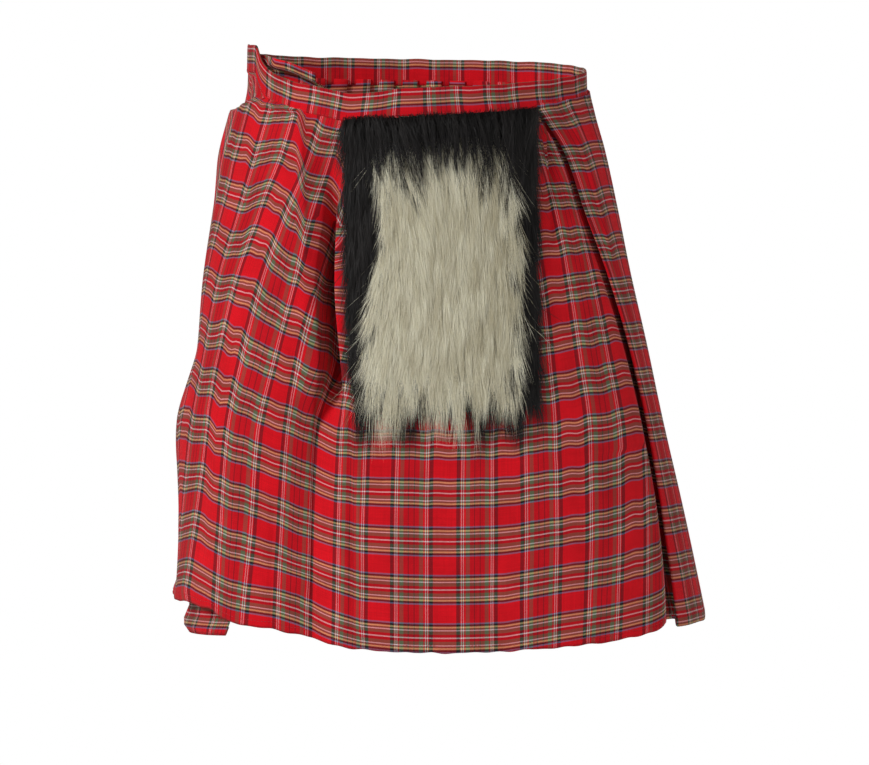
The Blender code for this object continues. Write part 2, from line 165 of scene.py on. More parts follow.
SECTIONS = (
    Section(-0.045, 0.1770, 0.1780, 0.121, 0.116, 2.15),
    Section(0.00, 0.1780, 0.1785, 0.122, 0.117, 2.15),
    Section(0.03, 0.1835, 0.1845, 0.125, 0.121, 2.20),
    Section(0.07, 0.1920, 0.1955, 0.131, 0.129, 2.20),
    Section(0.13, 0.2045, 0.2085, 0.138, 0.142, 2.25),
    Section(0.20, 0.2170, 0.2225, 0.145, 0.150, 2.30),
    Section(0.28, 0.2280, 0.2410, 0.153, 0.155, 2.40),
    Section(0.36, 0.2380, 0.2580, 0.162, 0.163, 2.45),
    Section(0.46, 0.2465, 0.2805, 0.174, 0.174, 2.50),
    Section(0.60, 0.2570, 0.3100, 0.192, 0.190, 2.60),
)


class BandPlace(NamedTuple):
    """Where the waistband's top edge runs, as the strip turns once round the waist and over itself."""

    turn: float
    height: float  # of the top edge, over the waist
    out: float  # from the body section


BAND = (
    BandPlace(-97, 0.0400, 0.0060),
    BandPlace(-90, 0.0420, 0.0040),
    BandPlace(-80, 0.0430, 0.0032),
    BandPlace(-72, 0.0430, 0.0030),
    BandPlace(-66, 0.0270, 0.0027),
    BandPlace(-61, 0.0195, 0.0025),
    BandPlace(-47, 0.0080, 0.0020),
    BandPlace(-29, -0.0005, 0.0),
    BandPlace(-20, -0.0045, 0.0),
    BandPlace(0, 0.0020, 0.0),
    BandPlace(18, 0.0035, 0.0),
    BandPlace(48, 0.0080, 0.0),
    BandPlace(90, 0.0150, 0.0),
    BandPlace(135, 0.0200, 0.0),
    BandPlace(180, 0.0220, 0.0),
    BandPlace(225, 0.0260, -0.0010),
    BandPlace(262, 0.0320, -0.0035),
    BandPlace(285, 0.0330, -0.0060),
    BandPlace(300, 0.0290, -0.0075),
    BandPlace(313, 0.0240, -0.0080),
    BandPlace(323, 0.0150, -0.0080),
)
BAND_HEIGHT = 0.028
BAND_HALF = 0.0010  # from the middle of the band to the middle of each of its layers
BAND_CLOTH = 0.0006
BAND_COLUMNS = 560
BAND_PUCKER = 0.0005  # how far the stitched edge draws the strip in and out
BAND_PUCKER_STEP = 0.013  # about one pucker this often
BAND_SETTLE = 0.0006  # how far the strip rides up and down
BAND_SETTLE_STEP = 0.045
BAND_LOFT = 0.6  # share by which its layers stand further apart half way up
WEFT_REPEAT = 0.0502  # of the check, up the cloth
WARP_REPEAT = 0.0668  # and across it
BAND_TOP_IN_CHECK = 0.0035  # from the band's top edge to the white line in the middle of a check
BAND_CHECKS = (0.106, 0.164, 0.223, 0.287, 0.349, 0.406)  # middles of checks along its front
BAND_EASE = 1.1  # cloth to length, elsewhere along it
INNER_END = 288.0  # turn from which the inner end curls in under its top edge
INNER_CURL = 0.020
INNER_CURLS_OVER = 12  # degrees
CURL_BELOW = 0.74  # share of the band's height, over which it doesn't curl
STITCHED_TO = 248.0  # turn at which the stitches have gone in under the outer end


def smooth(at, places, values):
    """The value at a place on a curve through the given ones, with no overshoot between them."""
    places = np.asarray(places, float)
    values = np.asarray(values, float)
    step = np.diff(places)
    rise = np.diff(values) / step
    before, after = rise[:-1], rise[1:]
    same_way = before * after > 0
    middle = np.where(same_way, 2 * before * after / np.where(same_way, before + after, 1), 0)
    slope = np.concatenate([rise[:1], middle, rise[-1:]])
    at = np.clip(at, places[0], places[-1])
    row = np.clip(np.searchsorted(places, at, side="right") - 1, 0, len(step) - 1)
    part = (at - places[row]) / step[row]
    rest = 1 - part
    start = values[row] * (1 + 2 * part) * rest**2 + slope[row] * step[row] * part * rest**2
    end = values[row + 1] * (3 - 2 * part) * part**2 - slope[row + 1] * step[row] * rest * part**2
    return start + end


def ease(value):
    """0 below 0, 1 above 1, and a smooth step between."""
    value = np.clip(value, 0, 1)
    return value * value * (3 - 2 * value)


def ripple(place, step, seed):
    """An uneven wave of about one crest to a step, between -1 and 1."""
    ahead = np.asarray(place, float) * (2 * math.pi / step)
    waves = np.sin(ahead + seed) + np.sin(0.61 * ahead + 2.1 * seed) + np.sin(1.43 * ahead + 3.7 * seed)
    return waves / 3


def half_widths(drop):
    """The half widths and the squareness of the body section at a drop."""
    drops, *columns = zip(*SECTIONS)
    return [smooth(drop, drops, column) for column in columns]


def section(drop, turn):
    """The place on the body section at a drop and a turn, and the direction out of it."""
    wearer_right, wearer_left, front, back, square = half_widths(drop)
    across, ahead = np.sin(np.radians(turn)), np.cos(np.radians(turn))
    half_x = np.where(across < 0, wearer_right, wearer_left)
    half_y = np.where(ahead > 0, front, back)
    share_x, share_y = np.abs(across) ** (2 / square), np.abs(ahead) ** (2 / square)
    out_x = np.sign(across) * share_x ** (square - 1) / half_x
    out_y = -np.sign(ahead) * share_y ** (square - 1) / half_y
    length = np.hypot(out_x, out_y)
    return (np.sign(across) * half_x * share_x, -np.sign(ahead) * half_y * share_y,
            out_x / length, out_y / length)


def place(drop, turn, out):
    """Points at these drops and turns, this far out from the body section."""
    x, y, out_x, out_y = section(drop, turn)
    return np.stack([x + out * out_x, y + out * out_y, -drop + 0 * x], axis=-1)


def band_bottom(turn):
    """Drop of the waistband's lower edge."""
    turns, heights, _ = zip(*BAND)
    return BAND_HEIGHT - smooth(turn, turns, heights)


def band_out(turn):
    """How far the waistband stands out from the body section."""
    turns, _, outs = zip(*BAND)
    return smooth(turn, turns, outs)


def path_length(points, axis):
    """Length along the rows or the columns of a net of points, from its first one."""
    steps = np.linalg.norm(np.diff(points, axis=axis), axis=-1)
    return np.insert(np.cumsum(steps, axis=axis), 0, 0, axis=axis)


def add_piece(name, mesh, finish, wall=None):
    """A piece of the kilt, which moves with all the others. A wall gives a sheet both of its sides."""
    mesh.shade_smooth()
    mesh.materials.append(finish)
    piece = bpy.data.objects.new(name, mesh)
    scene.collection.objects.link(piece)
    if wall:
        thick = piece.modifiers.new("wall", "SOLIDIFY")
        thick.thickness = wall
        thick.offset = 0
    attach(piece, "root")
    return piece


def cloth_piece(name, points, cloth, wall, finish, node):
    """A sheet of cloth on rows of points from the hem up, and the flat place of each in the check."""
    rows, columns = points.shape[:2]
    grid = bmesh.new()
    bmesh.ops.create_grid(grid, x_segments=columns - 1, y_segments=rows - 1, size=0.5)
    mesh = bpy.data.meshes.new(name)
    grid.to_mesh(mesh)
    grid.free()
    # The operator numbers the points in its own way, so each finds its row and column by its place.
    flat = np.empty(len(mesh.vertices) * 3)
    mesh.vertices.foreach_get("co", flat)
    column, row = np.rint((flat.reshape(-1, 3)[:, :2].T + 0.5) * [[columns - 1], [rows - 1]]).astype(int)
    mesh.vertices.foreach_set("co", points[row, column].ravel())
    corner = np.empty(len(mesh.loops), int)
    mesh.loops.foreach_get("vertex_index", corner)
    mesh.uv_layers.new(name="cloth").data.foreach_set("uv", cloth[row, column][corner].ravel())
    piece = add_piece(name, mesh, finish, wall)
    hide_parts(node)
    return piece


class Stripe(NamedTuple):
    """A run of threads of one colour, which ends this far from the middle of the check."""

    end: float
    thread: str


THREADS = {
    "red": (0.780, 0.005, 0.014),
    "deep red": (0.460, 0.005, 0.013),
    "white": (0.800, 0.790, 0.780),
    "black": (0.014, 0.012, 0.014),
    "green": (0.125, 0.148, 0.078),
    "yellow": (0.800, 0.680, 0.280),
    "blue": (0.190, 0.230, 0.400),
}
WARP = (
    Stripe(0.0024, "deep red"),
    Stripe(0.0033, "black"),
    Stripe(0.0078, "deep red"),
    Stripe(0.0120, "green"),
    Stripe(0.0139, "red"),
    Stripe(0.0148, "white"),
    Stripe(0.0160, "deep red"),
    Stripe(0.0169, "white"),
    Stripe(0.0178, "red"),
    Stripe(0.0216, "black"),
    Stripe(WARP_REPEAT / 2, "red"),
)
WEFT = (
    Stripe(0.0006, "white"),
    Stripe(0.0036, "deep red"),
    Stripe(0.0072, "green"),
    Stripe(0.0084, "white"),
    Stripe(0.0102, "green"),
    Stripe(0.0118, "yellow"),
    Stripe(0.0125, "green"),
    Stripe(0.0141, "black"),
    Stripe(0.0156, "blue"),
    Stripe(WEFT_REPEAT / 2, "red"),
)
THREAD_STEP = 0.00042  # from one thread to the next
THREAD_RELIEF = 0.0001
SLUB_LENGTH = 0.025  # over which a thread grows thicker and thinner
BLEED = 0.45  # share of the light that has passed through threads of both colours


def stripes(tree, along, repeat, runs):
    """The colour of the threads at a place across them, in a check that is mirrored about its middle."""
    from_middle = add(tree, "Math", {0: along, 1: repeat / 2}, operation="PINGPONG")
    share = add(tree, "Math", {0: from_middle.outputs[0], 1: repeat / 2}, operation="DIVIDE")
    ramp = add(tree, "ValToRGB", {"Fac": share.outputs[0]})
    ramp.color_ramp.interpolation = "CONSTANT"
    ramp.color_ramp.elements.remove(ramp.color_ramp.elements[1])
    ramp.color_ramp.elements[0].color = (*THREADS[runs[0].thread], 1)
    for before, run in zip(runs, runs[1:]):
        ramp.color_ramp.elements.new(before.end / (repeat / 2)).color = (*THREADS[run.thread], 1)
    return ramp.outputs["Color"]


def make_tartan():
    """The woven check: its colour, with painted shade in the gaps between its threads, and the relief of
    its threads, at a place on the flat cloth in metres.
    """
    tree = bpy.data.node_groups.new("tartan weave", "ShaderNodeTree")
    tree.interface.new_socket("Cloth", in_out="INPUT", socket_type="NodeSocketVector")
    tree.interface.new_socket("Color", in_out="OUTPUT", socket_type="NodeSocketColor")
    tree.interface.new_socket("Height", in_out="OUTPUT", socket_type="NodeSocketFloat")
    cloth = tree.nodes.new("NodeGroupInput").outputs["Cloth"]
    across, up, _ = add(tree, "SeparateXYZ", {"Vector": cloth}).outputs
    warp = stripes(tree, across, WARP_REPEAT, WARP)
    weft = stripes(tree, up, WEFT_REPEAT, WEFT)

    # Plain weave: warp and weft threads by turns lie on top, and thin cloth lets light through both.
    threads = add(tree, "VectorMath", {0: cloth, 1: (1 / THREAD_STEP,) * 3}, operation="MULTIPLY")
    over = add(tree, "TexChecker", {"Vector": threads.outputs[0], "Scale": 1.0}).outputs["Fac"]
    mixed = add(tree, "MapRange", {"Value": over, "To Min": 0.34, "To Max": 0.90})
    each = add(tree, "MixRGB", {"Fac": mixed.outputs[0], "Color1": warp, "Color2": weft})
    both = add(tree, "VectorMath", {0: warp, 1: weft}, operation="MULTIPLY")
    bled = add(tree, "Gamma", {"Color": both.outputs[0], "Gamma": 0.5})
    colour = add(tree, "MixRGB", {"Fac": BLEED, "Color1": each.outputs[0], "Color2": bled.outputs[0]})

    # Each thread is round across its length.
    rounds = []
    for side in (across, up):
        wave = add(tree, "Math", {0: side, 1: math.pi / THREAD_STEP}, operation="MULTIPLY")
        bend = add(tree, "Math", {0: wave.outputs[0]}, operation="SINE")
        rounds.append(add(tree, "Math", {0: bend.outputs[0]}, operation="ABSOLUTE").outputs[0])
    height = add(tree, "MapRange", {"Value": over, "To Min": rounds[0], "To Max": rounds[1]})

    # Threads of uneven thickness, cloth a little faded in places, and painted shade in the gaps between the
    # threads, where the cloth is darker as the threads dip.
    slubs = []
    for stretch in ((1 / THREAD_STEP, 1 / SLUB_LENGTH, 0), (1 / SLUB_LENGTH, 1 / THREAD_STEP, 0)):
        along = add(tree, "VectorMath", {0: cloth, 1: stretch}, operation="MULTIPLY")
        slubs.append(add(tree, "TexNoise", {"Vector": along.outputs[0], "Scale": 0.35, "Detail": 2.0}))
    uneven = add(tree, "Math", {0: slubs[0].outputs[0], 1: slubs[1].outputs[0]}, operation="ADD")
    shade = add(tree, "MapRange", {"Value": uneven.outputs[0], "From Min": 0.6, "From Max": 1.4,
                                   "To Min": 0.86, "To Max": 1.12})
    worn = add(tree, "TexNoise", {"Vector": cloth, "Scale": 26.0, "Detail": 3.0})
    faded = add(tree, "MapRange", {"Value": worn.outputs[0], "From Min": 0.3, "From Max": 0.7,
                                   "To Min": 0.88, "To Max": 1.08})
    dyed = add(tree, "Math", {0: shade.outputs[0], 1: faded.outputs[0]}, operation="MULTIPLY")
    # Painted shade: the colour is darker where the threads dip into the gaps between one another.
    gap = add(tree, "MapRange", {"Value": height.outputs[0], "To Min": 0.72, "To Max": 1.06})
    light = add(tree, "Math", {0: dyed.outputs[0], 1: gap.outputs[0]}, operation="MULTIPLY")
    shown = add(tree, "VectorMath", {0: colour.outputs[0], 1: light.outputs[0]}, operation="MULTIPLY")
    out = tree.nodes.new("NodeGroupOutput")
    tree.links.new(shown.outputs[0], out.inputs["Color"])
    tree.links.new(height.outputs[0], out.inputs["Height"])
    return tree


TARTAN = make_tartan()


def tartan_cloth(name, shift):
    """Thin matt cloth in the tartan. The shift is where the middle of a check lies on it."""
    made, tree, shader = shaded(name, {"Roughness": 0.82, "Specular IOR Level": 0.12,
                                       "Sheen Weight": 0.05, "Sheen Roughness": 0.5})
    flat = add(tree, "UVMap", uv_map="cloth")
    placed = add(tree, "VectorMath", {0: flat.outputs["UV"], 1: (*shift, 0)}, operation="SUBTRACT")
    weave = add(tree, "Group", node_tree=TARTAN)
    tree.links.new(placed.outputs[0], weave.inputs["Cloth"])
    tree.links.new(weave.outputs["Color"], shader.inputs["Base Color"])
    spot = add(tree, "TexCoord")
    crinkle = add(tree, "TexNoise", {"Vector": spot.outputs["Object"], "Scale": 70.0, "Detail": 2.0})
    crumpled = add(tree, "Bump", {"Strength": 0.6, "Distance": 0.0016, "Height": crinkle.outputs[0]})
    bump = add(tree, "Bump", {"Strength": 0.5, "Distance": THREAD_RELIEF, "Height": weave.outputs["Height"],
                              "Normal": crumpled.outputs[0]})
    tree.links.new(bump.outputs[0], shader.inputs["Normal"])
    return made


STITCH_LENGTH = 0.0026
STITCH_STEP = 0.0036
STITCH_ALONG = np.array([0, 0.15, 0.5, 0.85, 1])  # shares of its length at which a stitch has a ring
STITCH_OVER = np.array([-0.8, 0.35, 0.5, 0.35, -0.8])  # and its height there over the cloth, in widths
THREAD_WIDTH = 0.00045


def make_thread():
    """Twisted red sewing thread, a little glossier than the cloth."""
    made, tree, shader = shaded("sewing thread", {"Roughness": 0.5})
    spot = add(tree, "TexCoord")
    uneven = add(tree, "TexNoise", {"Vector": spot.outputs["Object"], "Scale": 900.0})
    colour = add(tree, "MixRGB", {"Fac": uneven.outputs[0], "Color1": (0.30, 0.004, 0.010, 1),
                                  "Color2": (0.62, 0.020, 0.034, 1)})
    tree.links.new(colour.outputs[0], shader.inputs["Base Color"])
    return made


THREAD = make_thread()


def stitches(name, seam, above):
    """Straight stitches along a line of points on the cloth, each going down into it at both ends."""
    path = path_length(seam, 0)
    at = np.arange(STITCH_STEP, path[-1] - STITCH_STEP, STITCH_STEP)[:, None]
    at = at + STITCH_LENGTH * STITCH_ALONG
    middle, up = [np.stack([np.interp(at, path, net[:, axis]) for axis in range(3)], axis=-1)
                  for net in (seam, above - seam)]
    ahead = np.gradient(middle, axis=1)
    up /= np.linalg.norm(up, axis=-1, keepdims=True)
    outward = np.cross(ahead, up)
    outward /= np.linalg.norm(outward, axis=-1, keepdims=True)
    middle += outward * (BAND_CLOTH / 2 + THREAD_WIDTH * STITCH_OVER[:, None])
    corners = [up - outward, up + outward, outward - up, -up - outward]
    ring = np.stack([middle + corner * THREAD_WIDTH / 2 for corner in corners], axis=2)
    rings = len(STITCH_ALONG)
    first = 4 * (np.arange(len(at))[:, None] * rings + np.arange(rings - 1)).reshape(-1, 1)
    sides = [first + np.array([[side, 4 + side, 4 + (side + 1) % 4, (side + 1) % 4]]) for side in range(4)]
    mesh = bpy.data.meshes.new(name)
    mesh.from_pydata(ring.reshape(-1, 3), [], np.concatenate(sides))
    add_piece(name, mesh, THREAD)


def make_waistband():
    """The strip goes up inside, over its top fold and down outside, where its raw edge is turned in."""
    turn = np.linspace(BAND[0].turn, BAND[-1].turn, BAND_COLUMNS)
    along = path_length(place(0 * turn, turn, band_out(turn)), 0)
    # Up the strip: shares of the band's height, and its side from -1 on the inside to 1 on the outside.
    inside = [(height, -1.0) for height in np.linspace(0, 0.97, 9)]
    fold = [(1 + 0.025 * math.sin(angle), -math.cos(angle)) for angle in np.linspace(0.6, 2.54, 4)]
    outside = [(height, 1.0) for height in np.linspace(0.97, 0.06, 11)]
    edge = [(0.02, 0.85), (0.0, 0.35), (0.05, 0.1)]
    points = []
    for height, side in inside + fold + outside + edge:
        pucker = BAND_PUCKER * ripple(along, BAND_PUCKER_STEP, 1.0) * (1 - height) ** 2
        settle = BAND_SETTLE * ripple(along, BAND_SETTLE_STEP, 2.0)
        drop = band_bottom(turn) - BAND_HEIGHT * height + settle
        out = band_out(turn) + BAND_HALF * side * (1 + BAND_LOFT * height * (1 - height)) + pucker
        curled = ease((turn - INNER_END) / INNER_CURLS_OVER)
        out -= INNER_CURL * curled * ease((CURL_BELOW - height) / (1 - CURL_BELOW))
        points.append(place(drop, turn, out))
    points = np.array(points)
    seam = points[len(inside) + len(fold):, turn < STITCHED_TO]
    stitches("waistband_stitches", seam[len(outside) - 1], seam[len(outside) - 3])
    points = points[::-1]
    up = path_length(points, 0)
    up -= np.median(up[len(edge) + len(outside)])
    past = np.minimum(along - BAND_CHECKS[0], 0) + np.maximum(along - BAND_CHECKS[-1], 0)
    across = np.interp(along, BAND_CHECKS, WARP_REPEAT * np.arange(len(BAND_CHECKS))) + past * BAND_EASE
    cloth = np.stack([np.broadcast_to(across, up.shape), up], axis=-1)
    finish = tartan_cloth("tartan waistband", (0.0, -BAND_TOP_IN_CHECK))
    piece = cloth_piece("waistband_cloth", points[:, ::-1], cloth[:, ::-1], BAND_CLOTH, finish,
                        "waistband")


make_waistband()

# ---- over apron -----------------------------------------------------------------------------------------
# The outer front of the wrap, one width of tartan. It hangs flat over the front, goes round the wearer's
# right side in soft folds to its hemmed free edge, and at the wearer's left is turned under in an
# inverted pleat.

CLOTH = 0.0007  # with its fuzz
FOLD_GAP = 0.0021  # between the middles of two layers of a pressed fold
FOLD_NOSE = 0.0006  # how far its edge rounds past them
PLEAT_SEAM_GAP = 0.0009
SEAM_ALLOWANCE = 0.005  # of the over apron, past its seam to the back
SEAM_GAP = 0.0010
INVERTED_TURN = 0.024  # how far the cloth is turned under on either side of the inverted pleat
FREE_EDGE_BEHIND = 0.026  # the widest point of the side
FLAT_AFTER_LIP = 0.020  # from the lip of the deep fold to where the apron hangs flat
TUCK = 0.006  # how far a panel goes up inside the waistband
DROPS = np.linspace(-0.05, 0.62, 135)  # at which the folds are worked out
TURNS = np.arange(-150, 451, 1.5)  # at which the length round the body is measured
LEVELS = (0.02, 0.07, 0.13, 0.20, 0.28, 0.36, 0.46, 0.53, 0.58)  # drops at which they are given
FRONT_HALF = -0.02  # creases are pressed only into cloth in front of this


class FoldLine(NamedTuple):
    """A line down the over apron: its place across the front and how far it stands out, at each level."""

    across: tuple
    out: tuple


LIP = FoldLine(
    across=(-0.076, -0.076, -0.084, -0.0860, -0.0800, -0.070, -0.069, -0.068, -0.068),
    out=(0.0, 0.0, 0.001, 0.003, 0.003, -0.001, -0.003, -0.003, -0.003),
)
FLOOR = FoldLine(
    across=(-0.082, -0.082, -0.088, -0.0900, -0.0840, -0.100, -0.106, -0.107, -0.107),
    out=(0.0, -0.001, -0.018, -0.052, -0.052, -0.014, -0.011, -0.011, -0.011),
)
VALLEY = FoldLine(
    across=(-0.088, -0.088, -0.093, -0.0995, -0.0950, -0.107, -0.111, -0.112, -0.112),
    out=(0.0, -0.002, -0.015, -0.046, -0.048, -0.015, -0.012, -0.012, -0.012),
)
BANK = FoldLine(
    across=(-0.102, -0.100, -0.0990, -0.1055, -0.1030, -0.114, -0.118, -0.119, -0.119),
    out=(0.001, 0.000, 0.003, 0.007, 0.004, -0.008, -0.009, -0.009, -0.009),
)
RIDGE = FoldLine(
    across=(-0.125, -0.122, -0.119, -0.1185, -0.120, -0.130, -0.136, -0.138, -0.138),
    out=(0.010, 0.014, 0.015, 0.015, 0.009, -0.001, -0.003, -0.003, -0.002),
)
CHEEK = FoldLine(
    across=(-0.145, -0.150, -0.156, -0.164, -0.174, -0.184, -0.190, -0.193, -0.195),
    out=(0.015, 0.018, 0.019, 0.019, 0.018, 0.018, 0.016, 0.014, 0.016),
)
SIDE_OUT = (0.018, 0.021, 0.014, 0.012, 0.009, 0.022, 0.011, 0.009, 0.036)
FREE_EDGE_OUT = (0.015, 0.015, 0.010, 0.009, 0.009, 0.014, 0.010, 0.010, 0.038)
# The inverted pleat: its edge on the over apron, its opening, its depth, and how far the side's edge
# stands out.
PLEAT_ACROSS = (0.120, 0.150, 0.171, 0.197, 0.222, 0.241, 0.257, 0.263, 0.265)
PLEAT_OPEN = (0.005, 0.006, 0.006, 0.006, 0.006, 0.008, 0.012, 0.019, 0.025)
PLEAT_DEPTH = (0.0045, 0.005, 0.0055, 0.006, 0.008, 0.012, 0.016, 0.018, 0.020)
SIDE_EDGE_OUT = (0.002, 0.0025, 0.0025, 0.0025, 0.0015, 0.0, -0.002, -0.003, -0.004)
PLEAT_ROLL = (0.000, 0.001, 0.003, 0.004, 0.004, 0.004, 0.003, 0.003, 0.003)  # of the apron's edge, inwards
PLEAT_ROLLS_OVER = 0.010


class Crease(NamedTuple):
    """A small pressed or pinched line in the over apron, down from its first drop to its last."""

    drops: tuple
    across: tuple
    out: float  # up on a ridge, down in a furrow
    width: float  # to either side of it


CREASES = (
    Crease((0.018, 0.055, 0.100, 0.124, 0.163, 0.180), (-0.125, -0.122, -0.121, -0.119, -0.118, -0.117),
           0.0026, 0.0050),
    Crease((0.270, 0.290, 0.315), (-0.129, -0.130, -0.128), -0.0022, 0.0040),
    Crease((0.300, 0.350, 0.380, 0.540), (-0.105, -0.106, -0.109, -0.111), -0.0022, 0.0035),
    Crease((0.300, 0.320, 0.340), (-0.078, -0.077, -0.076), -0.0015, 0.0035),
    Crease((0.325, 0.400, 0.470, 0.579), (-0.071, -0.0705, -0.069, -0.0685), -0.0042, 0.0036),
    Crease((0.345, 0.420, 0.500, 0.579), (-0.063, -0.0625, -0.061, -0.0605), 0.0016, 0.0040),
    Crease((0.045, 0.090, 0.160), (-0.186, -0.190, -0.199), -0.0020, 0.0050),
    Crease((0.100, 0.170, 0.260), (-0.166, -0.172, -0.184), -0.0014, 0.0060),
    Crease((0.330, 0.400, 0.500), (-0.222, -0.226, -0.229), -0.0020, 0.0060),
    Crease((0.380, 0.460, 0.560), (-0.192, -0.194, -0.196), 0.0018, 0.0070),
    Crease((0.420, 0.500, 0.570), (-0.150, -0.152, -0.153), -0.0018, 0.0060),
    Crease((0.400, 0.480, 0.560), (0.012, 0.014, 0.016), 0.0007, 0.0090),
    Crease((0.380, 0.470, 0.560), (0.168, 0.172, 0.176), -0.0010, 0.0080),
    Crease((0.035, 0.090, 0.170), (0.130, 0.136, 0.142), -0.0040, 0.0070),
    Crease((0.060, 0.120, 0.190), (0.146, 0.160, 0.176), 0.0014, 0.0050),
    Crease((0.170, 0.240, 0.330), (0.146, 0.158, 0.170), -0.0016, 0.0090),
)
SIDE_CREASES = (
    Crease((0.028, 0.070, 0.115, 0.190), (0.160, 0.176, 0.190, 0.208), 0.0060, 0.0060),
    Crease((0.040, 0.090, 0.160), (0.177, 0.196, 0.212), -0.0030, 0.0060),
    Crease((0.150, 0.230, 0.330), (0.214, 0.232, 0.246), -0.0018, 0.0070),
    Crease((0.330, 0.420, 0.540), (0.262, 0.274, 0.283), 0.0016, 0.0080),
)
CREASE_FADE = 0.12  # share of a crease's length in which it begins and ends


class ShoulderPlace(NamedTuple):
    """Where the draped side of the over apron turns out from under the waistband."""

    across: float
    drop: float


SHOULDER = (
    ShoulderPlace(-0.200, 0.0290),
    ShoulderPlace(-0.178, 0.0230),
    ShoulderPlace(-0.168, 0.0120),
    ShoulderPlace(-0.155, 0.0135),
    ShoulderPlace(-0.140, 0.0170),
    ShoulderPlace(-0.125, 0.0210),
    ShoulderPlace(-0.110, 0.0300),
)
SHOULDER_OVER = 0.0015  # how far above its shoulder the cloth begins to turn out
SHOULDER_TURN = 0.0045  # and in what length it does


class HemPlace(NamedTuple):
    """The drop of the over apron's hem, this far round the hem from the front middle."""

    along: float
    drop: float


OVER_HEM = (
    HemPlace(-0.410, 0.550),
    HemPlace(-0.350, 0.549),
    HemPlace(-0.270, 0.544),
    HemPlace(-0.224, 0.5495),
    HemPlace(-0.200, 0.5540),
    HemPlace(-0.160, 0.5590),
    HemPlace(-0.127, 0.5650),
    HemPlace(-0.094, 0.5740),
    HemPlace(-0.050, 0.5785),
    HemPlace(0.030, 0.581),
    HemPlace(0.152, 0.577),
    HemPlace(0.250, 0.5697),
    HemPlace(0.300, 0.5570),
)
INVERTED_HEM = 0.562  # drop of the hem in the inverted pleat, which is a little shorter


class HemLift(NamedTuple):
    """How much more of the cloth is turned up into the hem, this far round from the front middle."""

    along: float
    up: float


HEM_LIFTS = (
    HemLift(-0.410, 0.0020),
    HemLift(-0.350, 0.0040),
    HemLift(-0.318, 0.0030),
    HemLift(-0.293, 0.0),
    HemLift(-0.266, 0.0025),
    HemLift(-0.241, 0.0045),
    HemLift(-0.225, 0.0058),
    HemLift(-0.207, 0.0025),
    HemLift(-0.185, 0.0),
)


class Grain(NamedTuple):
    """A white warp line in the cloth, before or after the middle of a check, and where it hangs."""

    check: int
    side: int
    across: tuple


GRAIN = (
    Grain(-4, -1, (-0.155, -0.170, -0.188, -0.210, -0.226, -0.240, -0.252, -0.260, -0.266)),
    Grain(-3, -1, (-0.098, -0.113, -0.138, -0.163, -0.184, -0.200, -0.207, -0.211, -0.213)),
    Grain(-3, 1, (-0.078, -0.092, -0.112, -0.129, -0.150, -0.168, -0.175, -0.182, -0.186)),
    Grain(-2, -1, (-0.050, -0.060, -0.080, -0.103, -0.124, -0.137, -0.143, -0.146, -0.147)),
    Grain(-1, -1, (-0.014, -0.020, -0.032, -0.052, -0.070, -0.080, -0.083, -0.084, -0.085)),
    Grain(0, -1, (0.018, 0.019, 0.013, -0.002, -0.014, -0.021, -0.023, -0.023, -0.023)),
    Grain(1, -1, (0.050, 0.056, 0.057, 0.053, 0.050, 0.047, 0.046, 0.046, 0.046)),
    Grain(2, -1, (0.082, 0.092, 0.098, 0.104, 0.109, 0.112, 0.113, 0.112, 0.112)),
    Grain(3, -1, (0.112, 0.128, 0.145, 0.158, 0.170, 0.180, 0.181, 0.179, 0.177)),
    Grain(4, -1, (0.150, 0.172, 0.193, 0.210, 0.225, 0.239, 0.242, 0.241, 0.240)),
)
WHITE_FROM_MIDDLE = 0.0155  # of the white warp lines, from the middle of their check


class Pull(NamedTuple):
    """How far the wrap pulls the cloth up on a line across the front, in millimetres at each level."""

    across: float
    up: tuple


PULL = (
    Pull(-0.242, (55, 55, 55, 55, 52, 42, 26, 19, 17)),
    Pull(-0.211, (48, 48, 48, 43, 28, 17, 16, 15, 15)),
    Pull(-0.180, (50, 48, 41, 24, 15, 14, 15, 13, 13)),
    Pull(-0.148, (31, 31, 22, 14, 9, 6, 9, 13, 10)),
    Pull(-0.126, (22, 19, 13, 8, 3, 2, 3, 11, 7)),
    Pull(-0.118, (2, -3, -1, 3, 0, 0, 2, 9, 7)),
    Pull(-0.086, (0, 0, 0, -3, -4, -5, 1, 5, 4)),
    Pull(-0.060, (0, 0, 0, -2, -6, -3, 0, 1, 2)),
    Pull(-0.020, (0, 0, 0, 0, 0, 0, 0, 0, 0)),
    Pull(0.090, (0, 0, 0, 0, 0, 0, 0, 0, 0)),
    Pull(0.147, (2, 4, 6, 6, 6, 5, 5, 6, 5)),
    Pull(0.189, (6, 8, 10, 12, 11, 9, 8, 8, 8)),
    Pull(0.230, (9, 11, 14, 16, 17, 16, 13, 10, 9)),
)
OVER_CHECK_UP = 0.0152  # from the over apron's hem to the middle of its first check
OVER_SPANS = (8, 28, 22, 14, 10, 10, 10, 14, 84, 10)  # columns from one line down the apron to the next
TURN_COLUMNS = 6  # of the inverted pleat, from its fold to the one inside
SEAM_COLUMNS = 8  # and from there to its seam
OVER_ROWS = 170
HEM_TURNED = 0.008
HEM_WAVER = 0.0011
HEM_WAVER_STEP = 0.034
PANEL_LENGTH = 0.55  # about, from hem to waist
TURNED_UP = np.array([1.0, 0.5, 0.12])  # rows of the turned-up hem, as shares of it from its raw edge
TURNED_INSIDE = (0.0013, 0.0014, 0.0012, 0.0006)  # how far they and the hem's fold lie inside the cloth
HEM_FOLD = len(TURNED_UP)  # row of the net at the hem's fold
HEM_SEAM = HEM_FOLD + 2  # and the one that the hem's stitches follow
WARP_LINES = 240  # along which the length of a draped panel is measured

ring_x, ring_y = section(DROPS[:, None], TURNS[None, :])[:2]
ring_along = path_length(np.stack([ring_x, ring_y], axis=-1), 1)
ring_along -= ring_along[:, [np.abs(TURNS).argmin()]]


